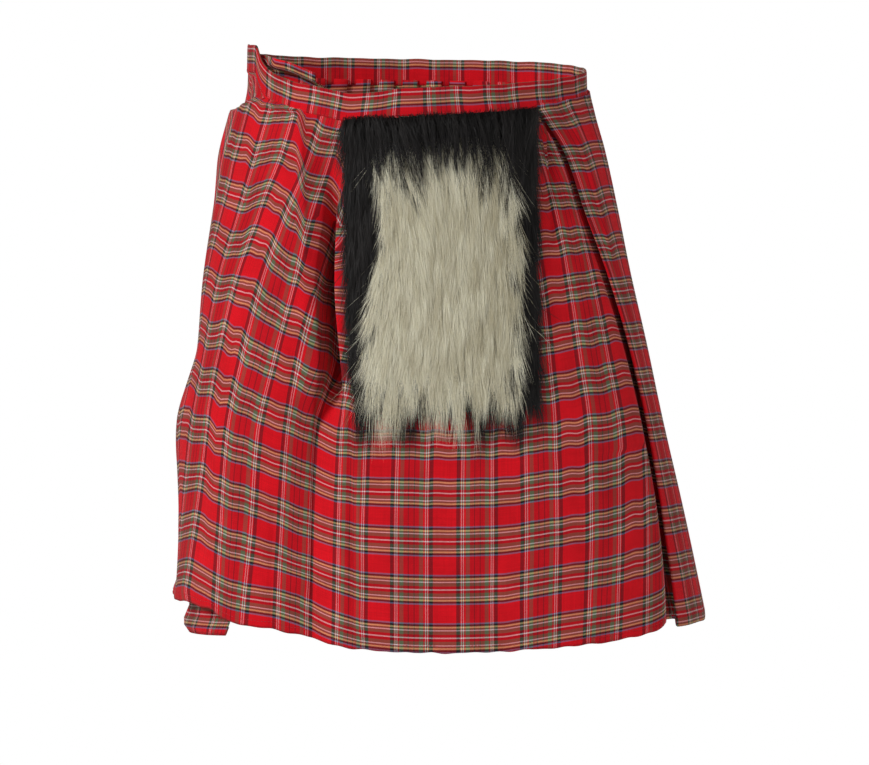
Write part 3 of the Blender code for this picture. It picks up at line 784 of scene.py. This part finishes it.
def along_of_turn(turn):
    """How far round the section each turn lies, level by level."""
    turn = np.broadcast_to(turn, (len(DROPS),) + np.shape(turn)[1:])
    return np.array([np.interp(values, TURNS, along) for values, along in zip(turn, ring_along)])


def turn_of_along(along):
    """The turn of each place round the section, level by level."""
    return np.array([np.interp(values, row, TURNS) for values, row in zip(along, ring_along)])


def turn_of_across(drop, across):
    """The turn at which the front of the body section comes to a place across it."""
    wearer_right, wearer_left, _, _, square = half_widths(drop)
    share = np.clip(np.abs(across) / np.where(across < 0, wearer_right, wearer_left), 0, 1)
    return np.sign(across) * np.degrees(np.arcsin(share ** (square / 2)))


def along_of_across(across):
    """How far round the front each place across it lies, negative towards the wearer's right."""
    return along_of_turn(turn_of_across(DROPS, across))


def at_levels(values):
    """Values at all the drops, from those at the nine levels."""
    return smooth(DROPS, LEVELS, values)


def down_columns(drop, values):
    """The values of each column at the drops of its own points."""
    return np.stack([np.interp(drop[:, j], DROPS, values[:, j]) for j in range(drop.shape[1])], axis=1)


def top_drops(turn):
    """Where each column reaches its top, inside the waistband."""
    over = DROPS[:, None] - band_bottom(turn)
    return np.array([np.interp(-TUCK, column, DROPS) for column in over.T])


def inverted(shift, opening, depth, lift=0.0, edge=0.0):
    """A line in the inverted pleat, by shares of the pleat's opening, depth and second edge."""
    fold = along_of_across(at_levels(PLEAT_ACROSS))
    out = edge * at_levels(SIDE_EDGE_OUT) - depth * at_levels(PLEAT_DEPTH) - lift
    return fold + shift + opening * at_levels(PLEAT_OPEN), out


def spread(lines, spans):
    """Columns evenly between the given lines, all standing out by one smooth curve."""
    along, out = (np.stack(columns, axis=1) for columns in zip(*lines))
    stations = np.concatenate([index + np.arange(count) / count for index, count in enumerate(spans)])
    stations = np.append(stations, len(spans))
    columns = np.array([np.interp(stations, range(len(lines)), row) for row in along])
    return columns, np.array([smooth(at, row, outs) for at, row, outs in zip(columns, along, out)])


def apron_lines():
    """The lines down the over apron, from its free edge to the fold of the inverted pleat."""
    flat = FoldLine([across + FLAT_AFTER_LIP for across in LIP.across], [0.0] * len(LEVELS))
    side = along_of_turn(-90)
    lines = [(side - FREE_EDGE_BEHIND, at_levels(FREE_EDGE_OUT)), (side, at_levels(SIDE_OUT))]
    lines += [(along_of_across(at_levels(fold.across)), at_levels(fold.out))
              for fold in (CHEEK, RIDGE, BANK, VALLEY, FLOOR, LIP, flat)]
    rolled = inverted(-PLEAT_ROLLS_OVER, 0.0, 0.0), inverted(0.0, 0.0, 0.0, lift=at_levels(PLEAT_ROLL))
    return lines + list(rolled)


def press(points, drop, creases):
    """Presses the creases into the part of a net of points that lies on the front."""
    out = np.zeros(drop.shape)
    for crease in creases:
        first, last = crease.drops[0], crease.drops[-1]
        fade = CREASE_FADE * (last - first)
        there = ease((drop - first) / fade) * ease((last - drop) / fade)
        # A sharp middle with soft flanks.
        aside = np.abs(points[..., 0] - smooth(drop, crease.drops, crease.across)) / crease.width
        out += crease.out * there / (1 + aside**2) ** 2 * (1.15 - 0.15 * aside.clip(0, 4) ** 0.5)
    points[..., 1] -= np.where(points[..., 1] < FRONT_HALF, out, 0)


def crossing(gap, path):
    """The length along a row at which it crosses a line, carried on past either end of the row."""
    return np.interp(0, gap, path) + max(-gap[-1], 0) - max(gap[0], 0)


def joined(*parts):
    """Columns side by side: each part is places round the section and how far they stand out, by level."""
    return [np.concatenate([np.reshape(part[side], (len(DROPS), -1)) for part in parts], axis=1)
            for side in (0, 1)]


def between(start, end, count):
    """Columns from one line to the next, without the last."""
    share = np.arange(count) / count
    return [first[:, None] * (1 - share) + last[:, None] * share for first, last in zip(start, end)]


def hang(along, out, hem, rows, shoulder=None):
    """Points on these columns, from a hem turned up inside to the top inside the waistband.

    Also gives their drops. Above its shoulder a draped column lies flush with the waistband.
    """
    turn = turn_of_along(along)
    top = top_drops(turn)
    share = np.append(HEM_TURNED / PANEL_LENGTH * TURNED_UP, np.linspace(0, 1, rows))[:, None]
    drop = hem + (top - hem) * share
    inside = np.append(TURNED_INSIDE, np.zeros(rows - 1))[:, None]
    turn_at, out_at = down_columns(drop, turn), down_columns(drop, out) - inside
    if shoulder is not None:
        flush = band_out(turn_at[-1])
        turned = ease((drop - np.maximum(shoulder, top + TUCK) + SHOULDER_OVER) / SHOULDER_TURN)
        out_at = flush + (out_at - flush) * turned
    return place(drop, turn_at, out_at), drop


def with_turned_hem(points, up):
    """Lengths up from the hem's fold, with those of the turned-up hem counted down from it."""
    return np.concatenate([-np.linalg.norm(points[:HEM_FOLD] - points[HEM_FOLD], axis=-1), up])


def rise_on_warp(points, across):
    """Length up the warp threads of a panel that drapes at a slant, from the hem's fold."""
    rows, threads = across[HEM_FOLD:], np.linspace(across.min(), across.max(), WARP_LINES)
    lines = np.stack([[np.interp(threads, row, side) for row, side in zip(rows, points[HEM_FOLD:, :, axis])]
                      for axis in range(3)], axis=-1)
    aside = np.diff(np.clip(threads, rows.min(axis=1)[:, None], rows.max(axis=1)[:, None]), axis=0)
    steps = np.linalg.norm(np.diff(lines, axis=0), axis=-1)
    length = np.insert(np.cumsum(np.sqrt(np.maximum(steps**2 - aside**2, 0)), axis=0), 0, 0, axis=0)
    up = np.array([np.interp(row, threads, lengths) for row, lengths in zip(rows, length)])
    return with_turned_hem(points, up)


def across_check(points, drop, shown):
    """Where the cloth of the over apron lies across the check, from the white warp lines that show."""
    path = path_length(points, 1)
    check = [line.check * WARP_REPEAT + line.side * WHITE_FROM_MIDDLE for line in GRAIN]
    gaps = np.array([points[..., 0] - smooth(drop, LEVELS, line.across) for line in GRAIN])
    across = np.empty(path.shape)
    for row in range(len(points)):
        front = slice(int(points[row, :, 0].argmin()), shown)
        at = np.array([crossing(np.maximum.accumulate(gap), path[row, front])
                       for gap in gaps[:, row, front]])
        past = np.minimum(path[row] - at[0], 0) + np.maximum(path[row] - at[-1], 0)
        across[row] = smooth(path[row], at, check) + past
    return across


def pulled_up(points, drop):
    """How far the wrap has pulled up each point. Behind the wearer's right side it is as at the side."""
    x = points[..., 0]
    side = np.arange(x.shape[1]) < x.argmin(axis=1)[:, None]
    x = np.where(side, x.min(axis=1)[:, None], x)
    places = [pull.across for pull in PULL]
    pulls = np.array([smooth(drop, LEVELS, pull.up) for pull in PULL]) / 1000
    return np.array([[np.interp(x[row, column], places, pulls[:, row, column])
                      for column in range(x.shape[1])] for row in range(x.shape[0])])


def make_over_apron():
    """The apron that shows, and behind its edge its half of the inverted pleat."""
    along, out = spread(apron_lines(), OVER_SPANS)
    shown = along.shape[1]
    rolled = at_levels(PLEAT_ROLL)
    under = (
        inverted(FOLD_NOSE, 0.0, 0.0, lift=rolled + FOLD_GAP / 2),
        between(inverted(0.0, 0.0, 0.0, lift=rolled + FOLD_GAP),
                inverted(-INVERTED_TURN, 0.0, 0.5, lift=FOLD_GAP / 2), TURN_COLUMNS),
        inverted(-INVERTED_TURN, 0.0, 0.5, lift=FOLD_GAP / 2),
        inverted(-INVERTED_TURN - FOLD_NOSE, 0.0, 0.75, lift=FOLD_GAP),
        between(inverted(-INVERTED_TURN, 0.0, 1.0, lift=FOLD_GAP),
                inverted(-PLEAT_SEAM_GAP / 2, 0.5, 1.0, lift=FOLD_GAP), SEAM_COLUMNS),
        inverted(-PLEAT_SEAM_GAP / 2, 0.5, 1.0, lift=FOLD_GAP),
        inverted(-PLEAT_SEAM_GAP / 4, 0.5, 1.0, lift=FOLD_GAP + SEAM_GAP),
        inverted(SEAM_ALLOWANCE, 0.5, 1.0, lift=FOLD_GAP + SEAM_GAP),
    )
    foot = np.array([np.interp(INVERTED_HEM, DROPS, column) for column in along.T])
    along, out = joined((along, out), *under)
    behind = along.shape[1] - shown
    waver = HEM_WAVER * ripple(foot, HEM_WAVER_STEP, 2.0) - smooth(foot, *zip(*HEM_LIFTS))
    hem = smooth(foot, *zip(*OVER_HEM)) + waver
    hem = np.append(hem, np.linspace(hem[-1], INVERTED_HEM, behind))
    waist = turn_of_along(along)[np.abs(DROPS - LEVELS[0]).argmin()]
    shoulder = smooth(place(LEVELS[0], waist, 0)[:, 0], *zip(*SHOULDER))
    shoulder[shown:] = 0
    points, drop = hang(along, out, hem, OVER_ROWS, shoulder)
    press(points[:, :shown], drop[:, :shown], CREASES)

    across = across_check(points, drop, shown)
    up = rise_on_warp(points[:, :shown], across[:, :shown]) - waver
    up -= pulled_up(points[:, :shown], drop[:, :shown])
    up = np.pad(up, ((0, 0), (0, behind)), mode="edge")
    finish = tartan_cloth("tartan over apron", (0.0, OVER_CHECK_UP))
    piece = cloth_piece("over_apron_cloth", points, np.stack([across, up], axis=-1), CLOTH, finish,
                        "over_apron")
    stitches("over_apron_stitches", points[HEM_SEAM, :shown], points[HEM_SEAM + 3, :shown])


make_over_apron()

# ---- pleated back ---------------------------------------------------------------------------------------
# The back of the skirt in one length of the tartan. It starts in the inverted pleat, goes plain round the
# wearer's left side, and is pressed across the back into knife pleats that all turn the same way. Only
# the waistband holds them, so they open a little towards the hem.

PLEATS = 16
PLEAT_CLOTH = 0.074  # taken by each pleat
PLEAT_SWAY_TOP = 0.0042  # how far a pleat's pressed edge stands out, and its inner fold in
PLEAT_SWAY_HEM = 0.0075
PLEAT_SWAY_UNEVEN = 0.08  # share of that by which one differs from the next
PLEAT_SWAY_STEP = 0.4
PLEAT_BOW = 0.18  # share of it by which a pleat's face bows out
PLEAT_WANDER = 0.0028  # of its pressed edge from straight, at the hem
PLEAT_WANDER_STEP = 0.35
PLEATS_AFTER = 0.004  # the wearer's left side
PLEATS_SHORT = 0.052  # of the wearer's right side
BACK_TONGUE = 0.006  # past the last pleat
BACK_HEM = 0.577
BACK_HEM_WAVER = 0.0012
BACK_HEM_WAVER_STEP = 60.0  # columns
SIDE_HEM_RISE = 0.008
BACK_ROWS = 96
SIDE_COLUMNS = 70
FACE_COLUMNS = 6
SIDE_WHITE = (0.004, 0.004, 0.005, 0.007, 0.010, 0.014, 0.021, 0.027, 0.031)  # from the inverted pleat
BACK_CHECK_UP = 0.0125
BACK_DRAWN_DROPS = (0.400, 0.500, 0.552, 0.590)
BACK_DRAWN_IN = (0.0, 0.0040, 0.0100, 0.0125)  # of the last pleats, where the wrap covers them
BACK_DRAWN_FROM = 0.10  # before the pleats' end
BACK_DRAWN_OVER = 0.06

pleats_start = along_of_turn(90.0) + PLEATS_AFTER
pleats_end = along_of_turn(270.0) - PLEATS_SHORT
back_drawn = smooth(DROPS, BACK_DRAWN_DROPS, BACK_DRAWN_IN)[:, None]
pleat_sway = PLEAT_SWAY_TOP + (PLEAT_SWAY_HEM - PLEAT_SWAY_TOP) * ease(DROPS / BACK_HEM)


def knife_pleat(number):
    """A pleat's face from the fold inside to the pressed edge, and its cloth turned back under that."""
    face = (pleats_end - pleats_start) / PLEATS
    under = (PLEAT_CLOTH - face) / 2
    inner = pleats_start + number * face
    uneven = ripple(DROPS + 0.11 * number, PLEAT_WANDER_STEP, 1.7 * number)
    edge = inner + face + under + PLEAT_WANDER * ease(DROPS / BACK_HEM) * uneven
    sway = pleat_sway * (1 + PLEAT_SWAY_UNEVEN * ripple(DROPS, PLEAT_SWAY_STEP, 2.3 * number))
    bowed = inner + (edge - inner) * 0.5, PLEAT_BOW * sway
    lies = sway - FOLD_GAP
    turned = inner + face
    return [between((inner, -sway), bowed, FACE_COLUMNS // 2),
            between(bowed, (edge, sway), FACE_COLUMNS // 2),
            (edge, sway),
            (edge + FOLD_NOSE, sway - FOLD_GAP / 2),
            between((edge, lies), (turned, -lies), FACE_COLUMNS),
            (turned, -lies),
            (turned - FOLD_NOSE, -lies - FOLD_GAP / 2)]


def make_pleated_back():
    """The inverted pleat's other half, the plain side, and the pleats with the tongue that ends them."""
    first = knife_pleat(-1)[2:]
    fold = inverted(0.0, 1.0, 0.0, edge=1.0)
    start = (
        between(inverted(PLEAT_SEAM_GAP / 2, 0.5, 1.0, lift=FOLD_GAP),
                inverted(INVERTED_TURN, 1.0, 1.0, lift=FOLD_GAP), SEAM_COLUMNS),
        inverted(INVERTED_TURN, 1.0, 1.0, lift=FOLD_GAP),
        inverted(INVERTED_TURN + FOLD_NOSE, 1.0, 0.75, lift=FOLD_GAP),
        between(inverted(INVERTED_TURN, 1.0, 0.5, lift=FOLD_GAP / 2),
                inverted(0.0, 1.0, 0.0, lift=FOLD_GAP, edge=1.0), TURN_COLUMNS),
        inverted(0.0, 1.0, 0.0, lift=FOLD_GAP, edge=1.0),
        inverted(-FOLD_NOSE, 1.0, 0.0, lift=FOLD_GAP / 2, edge=1.0),
    )
    side = spread([fold, first[0]], (SIDE_COLUMNS,))
    pleats = [part for number in range(PLEATS) for part in knife_pleat(number)]
    ends = [(pleats_end + past, -pleat_sway) for past in (0, BACK_TONGUE)]
    before = joined(*start)[0].shape[1]
    plain = side[0].shape[1]
    along, out = joined(*start, side, *first[1:], *pleats, *ends)
    out -= back_drawn * ease((along - pleats_end[:, None] + BACK_DRAWN_FROM) / BACK_DRAWN_OVER)
    rise = np.concatenate([np.linspace(BACK_HEM - INVERTED_HEM, SIDE_HEM_RISE, before),
                           np.linspace(SIDE_HEM_RISE, 0, plain), np.zeros(along.shape[1] - before - plain)])
    hem = BACK_HEM - rise
    hem += BACK_HEM_WAVER * ripple(np.arange(along.shape[1]), BACK_HEM_WAVER_STEP, 1.0)
    points, drop = hang(along, out, hem, BACK_ROWS)
    press(points[:, before:], drop[:, before:], SIDE_CREASES)

    # The check runs true on the pleats. On the plain side it gives a little, so that it meets them and
    # keeps a white line along the edge of the inverted pleat.
    path = path_length(points, 1)
    fold_path, side_path = path[:, before], path[:, before + plain - 1]
    turn_in = smooth(drop[:, before], LEVELS, SIDE_WHITE)
    width = np.median(side_path - fold_path + turn_in)
    across = path - fold_path[:, None] - turn_in[:, None]
    part = np.clip((path - fold_path[:, None]) / (side_path - fold_path)[:, None], 0, 1)
    across += part * (width - (side_path - fold_path - turn_in))[:, None]
    up = with_turned_hem(points, path_length(points[HEM_FOLD:], 0))
    finish = tartan_cloth("tartan back", (WHITE_FROM_MIDDLE, BACK_CHECK_UP))
    piece = cloth_piece("back_cloth", points, np.stack([across, up], axis=-1), CLOTH, finish,
                        "pleated_back")


make_pleated_back()

# ---- under apron ----------------------------------------------------------------------------------------
# The inner front of the wrap. It goes on from the last pleat at the wearer's right, inside the over
# apron, to a hemmed free edge at the front, and hangs a little lower than what covers it.

UNDER_EDGE_ACROSS = (-0.113, -0.122, -0.132, -0.143, -0.157, -0.170, -0.187, -0.198, -0.205)
UNDER_HEM = 0.5920
UNDER_HEM_RISE = 0.0200  # across its width, to the free edge
UNDER_DRAWN_DROPS = (0.440, 0.520, 0.556, 0.574, 0.580, 0.587, 0.594)
UNDER_DRAWN_IN = (0.0, 0.0030, 0.0065, 0.0010, 0.0035, 0.0095, 0.0120)  # it billows out between two folds
UNDER_CLEAR_OF_BAND = 0.080  # drop at which it no longer follows the waistband
# Shares of its width, from the last pleat, in which it takes up its own drape, hem, place in the
# waistband and place on the body.
UNDER_BILLOWS_FROM = 0.2
UNDER_HANGS_FROM = 0.22
UNDER_JOINS_BAND = 0.2
UNDER_LEVELS_OUT = 0.4
UNDER_COLUMNS = 64
UNDER_ROWS = 90
UNDER_CHECK_UP = 0.0220
UNDER_CHECK_ACROSS = -0.010


def make_under_apron():
    """A plain panel from the back's last pleat to the hidden free edge."""
    share = np.linspace(0, 1, UNDER_COLUMNS)
    seam = pleats_end + BACK_TONGUE + FOLD_NOSE
    edge = along_of_turn(360.0) + along_of_across(at_levels(UNDER_EDGE_ACROSS))
    along = seam[:, None] + (edge - seam)[:, None] * share
    tucked = -pleat_sway[:, None] * (1 - ease(share / UNDER_LEVELS_OUT))
    in_band = band_out(turn_of_along(along))
    near_band = (1 - ease(DROPS / UNDER_CLEAR_OF_BAND))[:, None] * ease(share / UNDER_JOINS_BAND)
    out = tucked + (in_band - tucked) * near_band
    billow = smooth(DROPS, UNDER_DRAWN_DROPS, UNDER_DRAWN_IN)[:, None]
    out -= back_drawn + (billow - back_drawn) * ease(share / UNDER_BILLOWS_FROM)
    hem = UNDER_HEM - UNDER_HEM_RISE * share
    hem += (BACK_HEM - UNDER_HEM) * (1 - ease(share / UNDER_HANGS_FROM))
    points, _ = hang(along, out, hem, UNDER_ROWS)
    path = path_length(points, 1)
    up = with_turned_hem(points, path_length(points[HEM_FOLD:], 0))
    across = path - path[:, -1:]
    finish = tartan_cloth("tartan under apron", (UNDER_CHECK_ACROSS, UNDER_CHECK_UP))
    piece = cloth_piece("under_apron_cloth", points, np.stack([across, up], axis=-1), CLOTH, finish,
                        "under_apron")


make_under_apron()

# ---- sporran, black fur ---------------------------------------------------------------------------------
# A rectangle of fake fur with a long black pile, sewn flat on the apron right under the waistband. The
# pile is combed down, and hangs in pointed locks past the lower edge of its knitted backing.


class FurEdge(NamedTuple):
    """Where a piece of fur lies on the front, with the tips of its lowest locks as its bottom."""

    left: tuple  # places across, from the top down
    right: tuple
    top_left: float
    top_right: float
    bottom: float


class Pile(NamedTuple):
    """How the hairs of a piece of fur lie."""

    length: float
    height: float  # of the combed pile over its backing
    lift: float  # of the backing over the apron
    hang: float  # how far the lowest locks hang past the backing
    over: float  # how far the hairs along the upper edge lift off the others
    crown: float  # how far those at the very top rise over the edge before they fall
    uneven: float  # the share by which the longest locks outdo the shortest
    tufts: tuple  # lengths of the locks from left to right, as shares of the length
    lean: tuple  # degrees that the hairs lean to the right, from left to right in rows from the top


BLACK_EDGE = FurEdge((-0.075, -0.072, -0.064), (0.121, 0.121, 0.124), 0.0310, 0.0203, 0.362)
BLACK_PILE = Pile(
    length=0.044,
    height=0.0120,
    lift=0.0012,
    hang=0.042,
    over=0.0055,
    crown=0.0070,
    uneven=0.5,
    tufts=(1.0, 0.9, 0.8, 1.0, 1.15, 0.75, 0.8, 0.95, 1.4, 1.0, 1.5, 1.1, 1.0),
    lean=((-3, 16, 9, 6, -8), (-2, 6, 4, 2, 1), (-1, 0, 0, 0, 2), (2, -3, 0, 2, 1)),
)
BLACK_HAIRS = 36000
TOP_HAIRS = 2200  # of them, that stand along its upper edge
TOP_ROOTS = 0.012  # part of the way down in which those are rooted
LOCK_ACROSS = 0.0080  # from one lock to the next
LOCK_DOWN = 0.017
LOCK_LEAN = 6  # degrees by which one leans more than another
LOCK_WANDER = 0.0015  # of its tip
HAIR_WIDTH = 0.00050
HAIR_POINTS = 4
HAIR_LEAN = 3.0  # degrees, from hair to hair
HAIR_CURL = 0.0011
LONGEST = 1.15  # lengths of a pile's usual hair
EDGE_SPLAY = 7  # degrees by which the hairs lean out along either side
EDGE_SHARE = 0.04  # of the width, on either side, in which they do
STRAY_SHARE = 0.06  # of the hairs, that lie across the others
STRAY_LEAN = 13  # degrees
TOP_STRAY_SHARE = 0.5  # along the upper edge
# Parts of the way down a piece of fur: where its upper edge ends, where the hairs under that are no
# longer ragged, and where the locks of its lower edge begin.
TOP_TO = 0.013
RAGGED_TO = 0.17
LOWEST_FROM = 0.75
BACKING = 0.0008
BACKING_COLUMNS = 60
BACKING_ROWS = 80


def on_front(drop, across, out):
    """Points on the front of the skirt, this far out from the flat apron, and the direction out there."""
    x, y, out_x, out_y = section(drop, turn_of_across(drop, across))
    outward = np.stack([out_x, out_y, 0 * x], axis=-1)
    return np.stack([x, y, -drop], axis=-1) + outward * np.asarray(out)[..., None], outward


def fur_place(edge, pile, part, row):
    """The drop and the place across of shares of a piece of fur, from its left and from its top edge."""
    top = edge.top_left + (edge.top_right - edge.top_left) * part
    drop = top + (edge.bottom - pile.hang - top) * row
    left, right = [smooth(row, np.linspace(0, 1, len(side)), side) for side in (edge.left, edge.right)]
    return drop, left + (right - left) * part


def fur_backing(name, edge, pile, finish, node):
    """The knitted cloth that the hairs grow from."""
    part, row = np.meshgrid(np.linspace(0, 1, BACKING_COLUMNS), np.linspace(1, 0, BACKING_ROWS))
    drop, across = fur_place(edge, pile, part, row)
    points, _ = on_front(drop, across, np.full(drop.shape, pile.lift))
    cloth = np.stack([across, -drop], axis=-1)
    piece = cloth_piece(name + "_backing", points, cloth, BACKING, finish, node)


def fur_locks(drop, across):
    """The number of the lock that each hair belongs to, by where its root is."""
    column = np.floor(across / LOCK_ACROSS + 0.3 * ripple(drop, 0.05, 1.0))
    cell = np.stack([column, np.floor(drop / LOCK_DOWN + 0.37 * column)])
    return np.unique(cell, axis=1, return_inverse=True)[1].ravel()


def by_lock(rng, lock, low, high):
    """A value for each hair, the same for all the hairs of a lock."""
    return rng.uniform(low, high, lock.max() + 1)[lock]


def hair_leans(part, row, pile, lock, rng):
    """How far each hair leans to the right, in radians, and whether it strays from the others."""
    flow = np.array([smooth(part, np.linspace(0, 1, len(leans)), leans) for leans in pile.lean])
    level = row * (len(pile.lean) - 1)
    weight = np.maximum(1 - np.abs(level - np.arange(len(pile.lean))[:, None]), 0)
    lean = (flow * weight).sum(axis=0) + by_lock(rng, lock, -LOCK_LEAN, LOCK_LEAN)
    lean += rng.normal(0, HAIR_LEAN, len(part))
    aside = np.clip(1 - (1 - part) / EDGE_SHARE, 0, 1) - np.clip(1 - part / EDGE_SHARE, 0, 1)
    lean += EDGE_SPLAY * aside * rng.uniform(0, 2, len(part))
    stray = rng.uniform(0, 1, len(part)) < np.where(row < TOP_TO, TOP_STRAY_SHARE, STRAY_SHARE)
    return np.radians(np.where(stray, lean + rng.normal(0, STRAY_LEAN, len(part)), lean)), stray


def hair_lengths(part, row, pile, lock, rng):
    """Uneven lengths in broad tufts, which fade towards the lower edge. There the locks end raggedly."""
    uneven = 1 - pile.uneven * by_lock(rng, lock, 0, 1) * rng.uniform(0.6, 1, len(part))
    uneven *= np.where(row < RAGGED_TO, rng.uniform(0.5, 1.3, len(part)), 1)
    tuft = smooth(part, np.linspace(0, 1, len(pile.tufts)), pile.tufts)
    tuft = 1 + (tuft - 1) * np.clip(1.5 - 2 * row, 0.3, 1)
    length = pile.length * LONGEST * uneven * tuft
    lowest = ease((row - LOWEST_FROM) / 0.2)
    return length * (1 + lowest * (by_lock(rng, lock, -0.6, 0.45) + rng.uniform(-0.5, 0.2, len(part))))


def hairs(name, part, row, edge, pile, seed, finish):
    """Narrow ribbons that taper to a point, rooted at these shares of the piece and drawn into locks."""
    rng = np.random.default_rng(seed)
    count = len(part)
    drop, across = fur_place(edge, pile, part, row)
    lock = fur_locks(drop, across)
    lean, stray = hair_leans(part, row, pile, lock, rng)
    length = hair_lengths(part, row, pile, lock, rng)
    along = np.linspace(0, 1, HAIR_POINTS)
    # Towards the tip a hair is drawn to the middle of its lock, and curls a little on its own.
    middle = np.bincount(lock, across)[lock] / np.bincount(lock)[lock]
    middle += by_lock(rng, lock, -LOCK_WANDER, LOCK_WANDER)
    drawn = np.where(stray, 0.1, 0.8)[:, None] * (middle - across)[:, None] * along**1.3
    curl = rng.normal(0, HAIR_CURL, count)[:, None] * np.sin(along * rng.uniform(2, 7, count)[:, None])
    # It rises off the backing and lies down on the pile. Along the upper edge it stands up first.
    lies = rng.uniform(0.25, 1.0, count) ** 0.8 * by_lock(rng, lock, 0.7, 1.0)
    out = pile.lift + pile.height * (lies[:, None] * (1 - (1 - along) ** 2.2) - 0.15 * along**4)
    out += pile.over * np.clip(1.2 - 5 * row, 0, 1)[:, None] * along
    crown = pile.crown * (np.clip(2 - row / 0.01, 0, 1) * rng.uniform(0.1, 1, count))[:, None]
    out += crown * np.sin(math.pi * along)
    forward = length[:, None] * along ** (1 + 250 * crown) - crown * np.sin(math.pi * along**0.7)
    lean = lean[:, None]
    points, outward = on_front(drop[:, None] + forward * np.cos(lean),
                               across[:, None] + forward * np.sin(lean) + drawn + curl, out)

    # The ribbon: a pair of points at each place along the hair, and one at its tip.
    tilt = np.broadcast_to(np.sin(lean), (count, HAIR_POINTS))
    side = np.stack([-outward[..., 1], outward[..., 0], tilt], axis=-1)
    twist = rng.normal(0, 0.4, count)[:, None, None]
    side = side * np.cos(twist) + outward * np.sin(twist)
    width = HAIR_WIDTH * rng.uniform(0.6, 1.15, count)[:, None] * (1 - along) ** 0.7 / 2
    both = np.stack([points - side * width[..., None], points + side * width[..., None]], axis=2)
    both = both.reshape(count, -1, 3)[:, :-1]
    first = np.arange(count)[:, None] * both.shape[1]
    quads = (first + 2 * np.arange(HAIR_POINTS - 2)).reshape(-1, 1) + np.array([[0, 2, 3, 1]])
    tips = first + np.array([[-3, -1, -2]]) + both.shape[1]
    mesh = bpy.data.meshes.new(name)
    mesh.from_pydata(both.reshape(-1, 3), [], quads.tolist() + tips.tolist())
    # For its colour: how light the hair is, and how far along it each point lies.
    strand = np.zeros(both.shape)
    # Each piece is made darker towards its right: partly the fur's own tone there, partly painted shade on
    # the side away from the key lamp.
    shade = 0.57 - 0.14 * part + 0.12 * ripple(across + 0.3 * drop, 0.07, seed)
    shade += by_lock(rng, lock, -0.28, 0.28) + rng.normal(0, 0.18, count)
    strand[..., 0] = np.clip(shade, 0, 1)[:, None]
    strand[..., 1] = np.repeat(along, 2)[:-1]
    mesh.attributes.new("strand", "FLOAT_VECTOR", "POINT").data.foreach_set("vector", strand.ravel())
    add_piece(name, mesh, finish)


def fur_finish(name, dark, light, roughness, gloss):
    """Hair with painted shade that darkens it towards its root, down in the pile, and lighter or darker
    from one lock to the next.
    """
    made, tree, shader = shaded(name, {"Roughness": roughness, "Specular IOR Level": gloss})
    strand = add(tree, "Attribute", attribute_name="strand")
    shade, along, _ = add(tree, "SeparateXYZ", {"Vector": strand.outputs["Vector"]}).outputs
    colour = add(tree, "MixRGB", {"Fac": shade, "Color1": (*dark, 1), "Color2": (*light, 1)})
    # Painted shade: each hair darkens towards its root, where the pile above shades it. The backing has no
    # strand attribute, so it takes the darkest colour with this shade.
    root = add(tree, "MapRange", {"Value": along, "From Max": 0.4, "To Min": 0.8})
    shown = add(tree, "VectorMath", {0: colour.outputs[0], 1: root.outputs[0]}, operation="MULTIPLY")
    tree.links.new(shown.outputs[0], shader.inputs["Base Color"])
    return made


black_hair = fur_finish("black hair", (0.003, 0.0026, 0.0025), (0.028, 0.0245, 0.0235), 0.5, 0.2)
fur_backing("black_fur", BLACK_EDGE, BLACK_PILE, black_hair, "sporran_black_fur")
# Its hairs are left out where the cream piece covers them, and thinned just above that.
part, row = np.random.default_rng(1).uniform(0, 1, (2, BLACK_HAIRS * 3))
some = np.random.default_rng(2).uniform(0, 1, part.shape) < 0.3
bare = (part < 0.2) | (part > 0.83) | (row < 0.12) | (row < 0.18) & some | (row > 0.84)
part, row = part[bare][:BLACK_HAIRS], row[bare][:BLACK_HAIRS]
row[:TOP_HAIRS] *= TOP_ROOTS
hairs("black_hair", part, row, BLACK_EDGE, BLACK_PILE, 3, black_hair)

# ---- sporran, cream fur ---------------------------------------------------------------------------------
# A smaller rectangle of the same fur in cream, sewn on the middle of the black one. The black hairs of
# its upper edge hang over it in ragged tufts.

CREAM_EDGE = FurEdge((-0.041, -0.033, -0.038, -0.047, -0.048), (0.084, 0.096, 0.101, 0.101, 0.100),
                     0.053, 0.047, 0.357)
CREAM_PILE = Pile(
    length=0.050,
    height=0.0100,
    lift=0.0045,
    hang=0.058,
    over=0.0,
    crown=0.0,
    uneven=0.55,
    tufts=(1.05, 1.0, 1.1, 0.9, 1.05, 0.95, 1.1, 0.85, 1.0),
    lean=((2, 10, 6, 5, 9), (2, 13, 4, 2, 8), (-10, 2, 2, 2, 2), (-9, -4, 0, 2, 0), (-3, -4, 2, 3, 2)),
)
CREAM_HAIRS = 37000

cream_hair = fur_finish("cream hair", (0.56, 0.50, 0.33), (1.0, 0.97, 0.79), 0.55, 0.3)
fur_backing("cream_fur", CREAM_EDGE, CREAM_PILE, cream_hair, "sporran_cream_fur")
for layer, seed in (("under", 5), ("over", 11)):
    part, row = np.random.default_rng(seed).uniform(0, 1, (2, CREAM_HAIRS))
    hairs("cream_hair_" + layer, part, row, CREAM_EDGE, CREAM_PILE, seed, cream_hair)
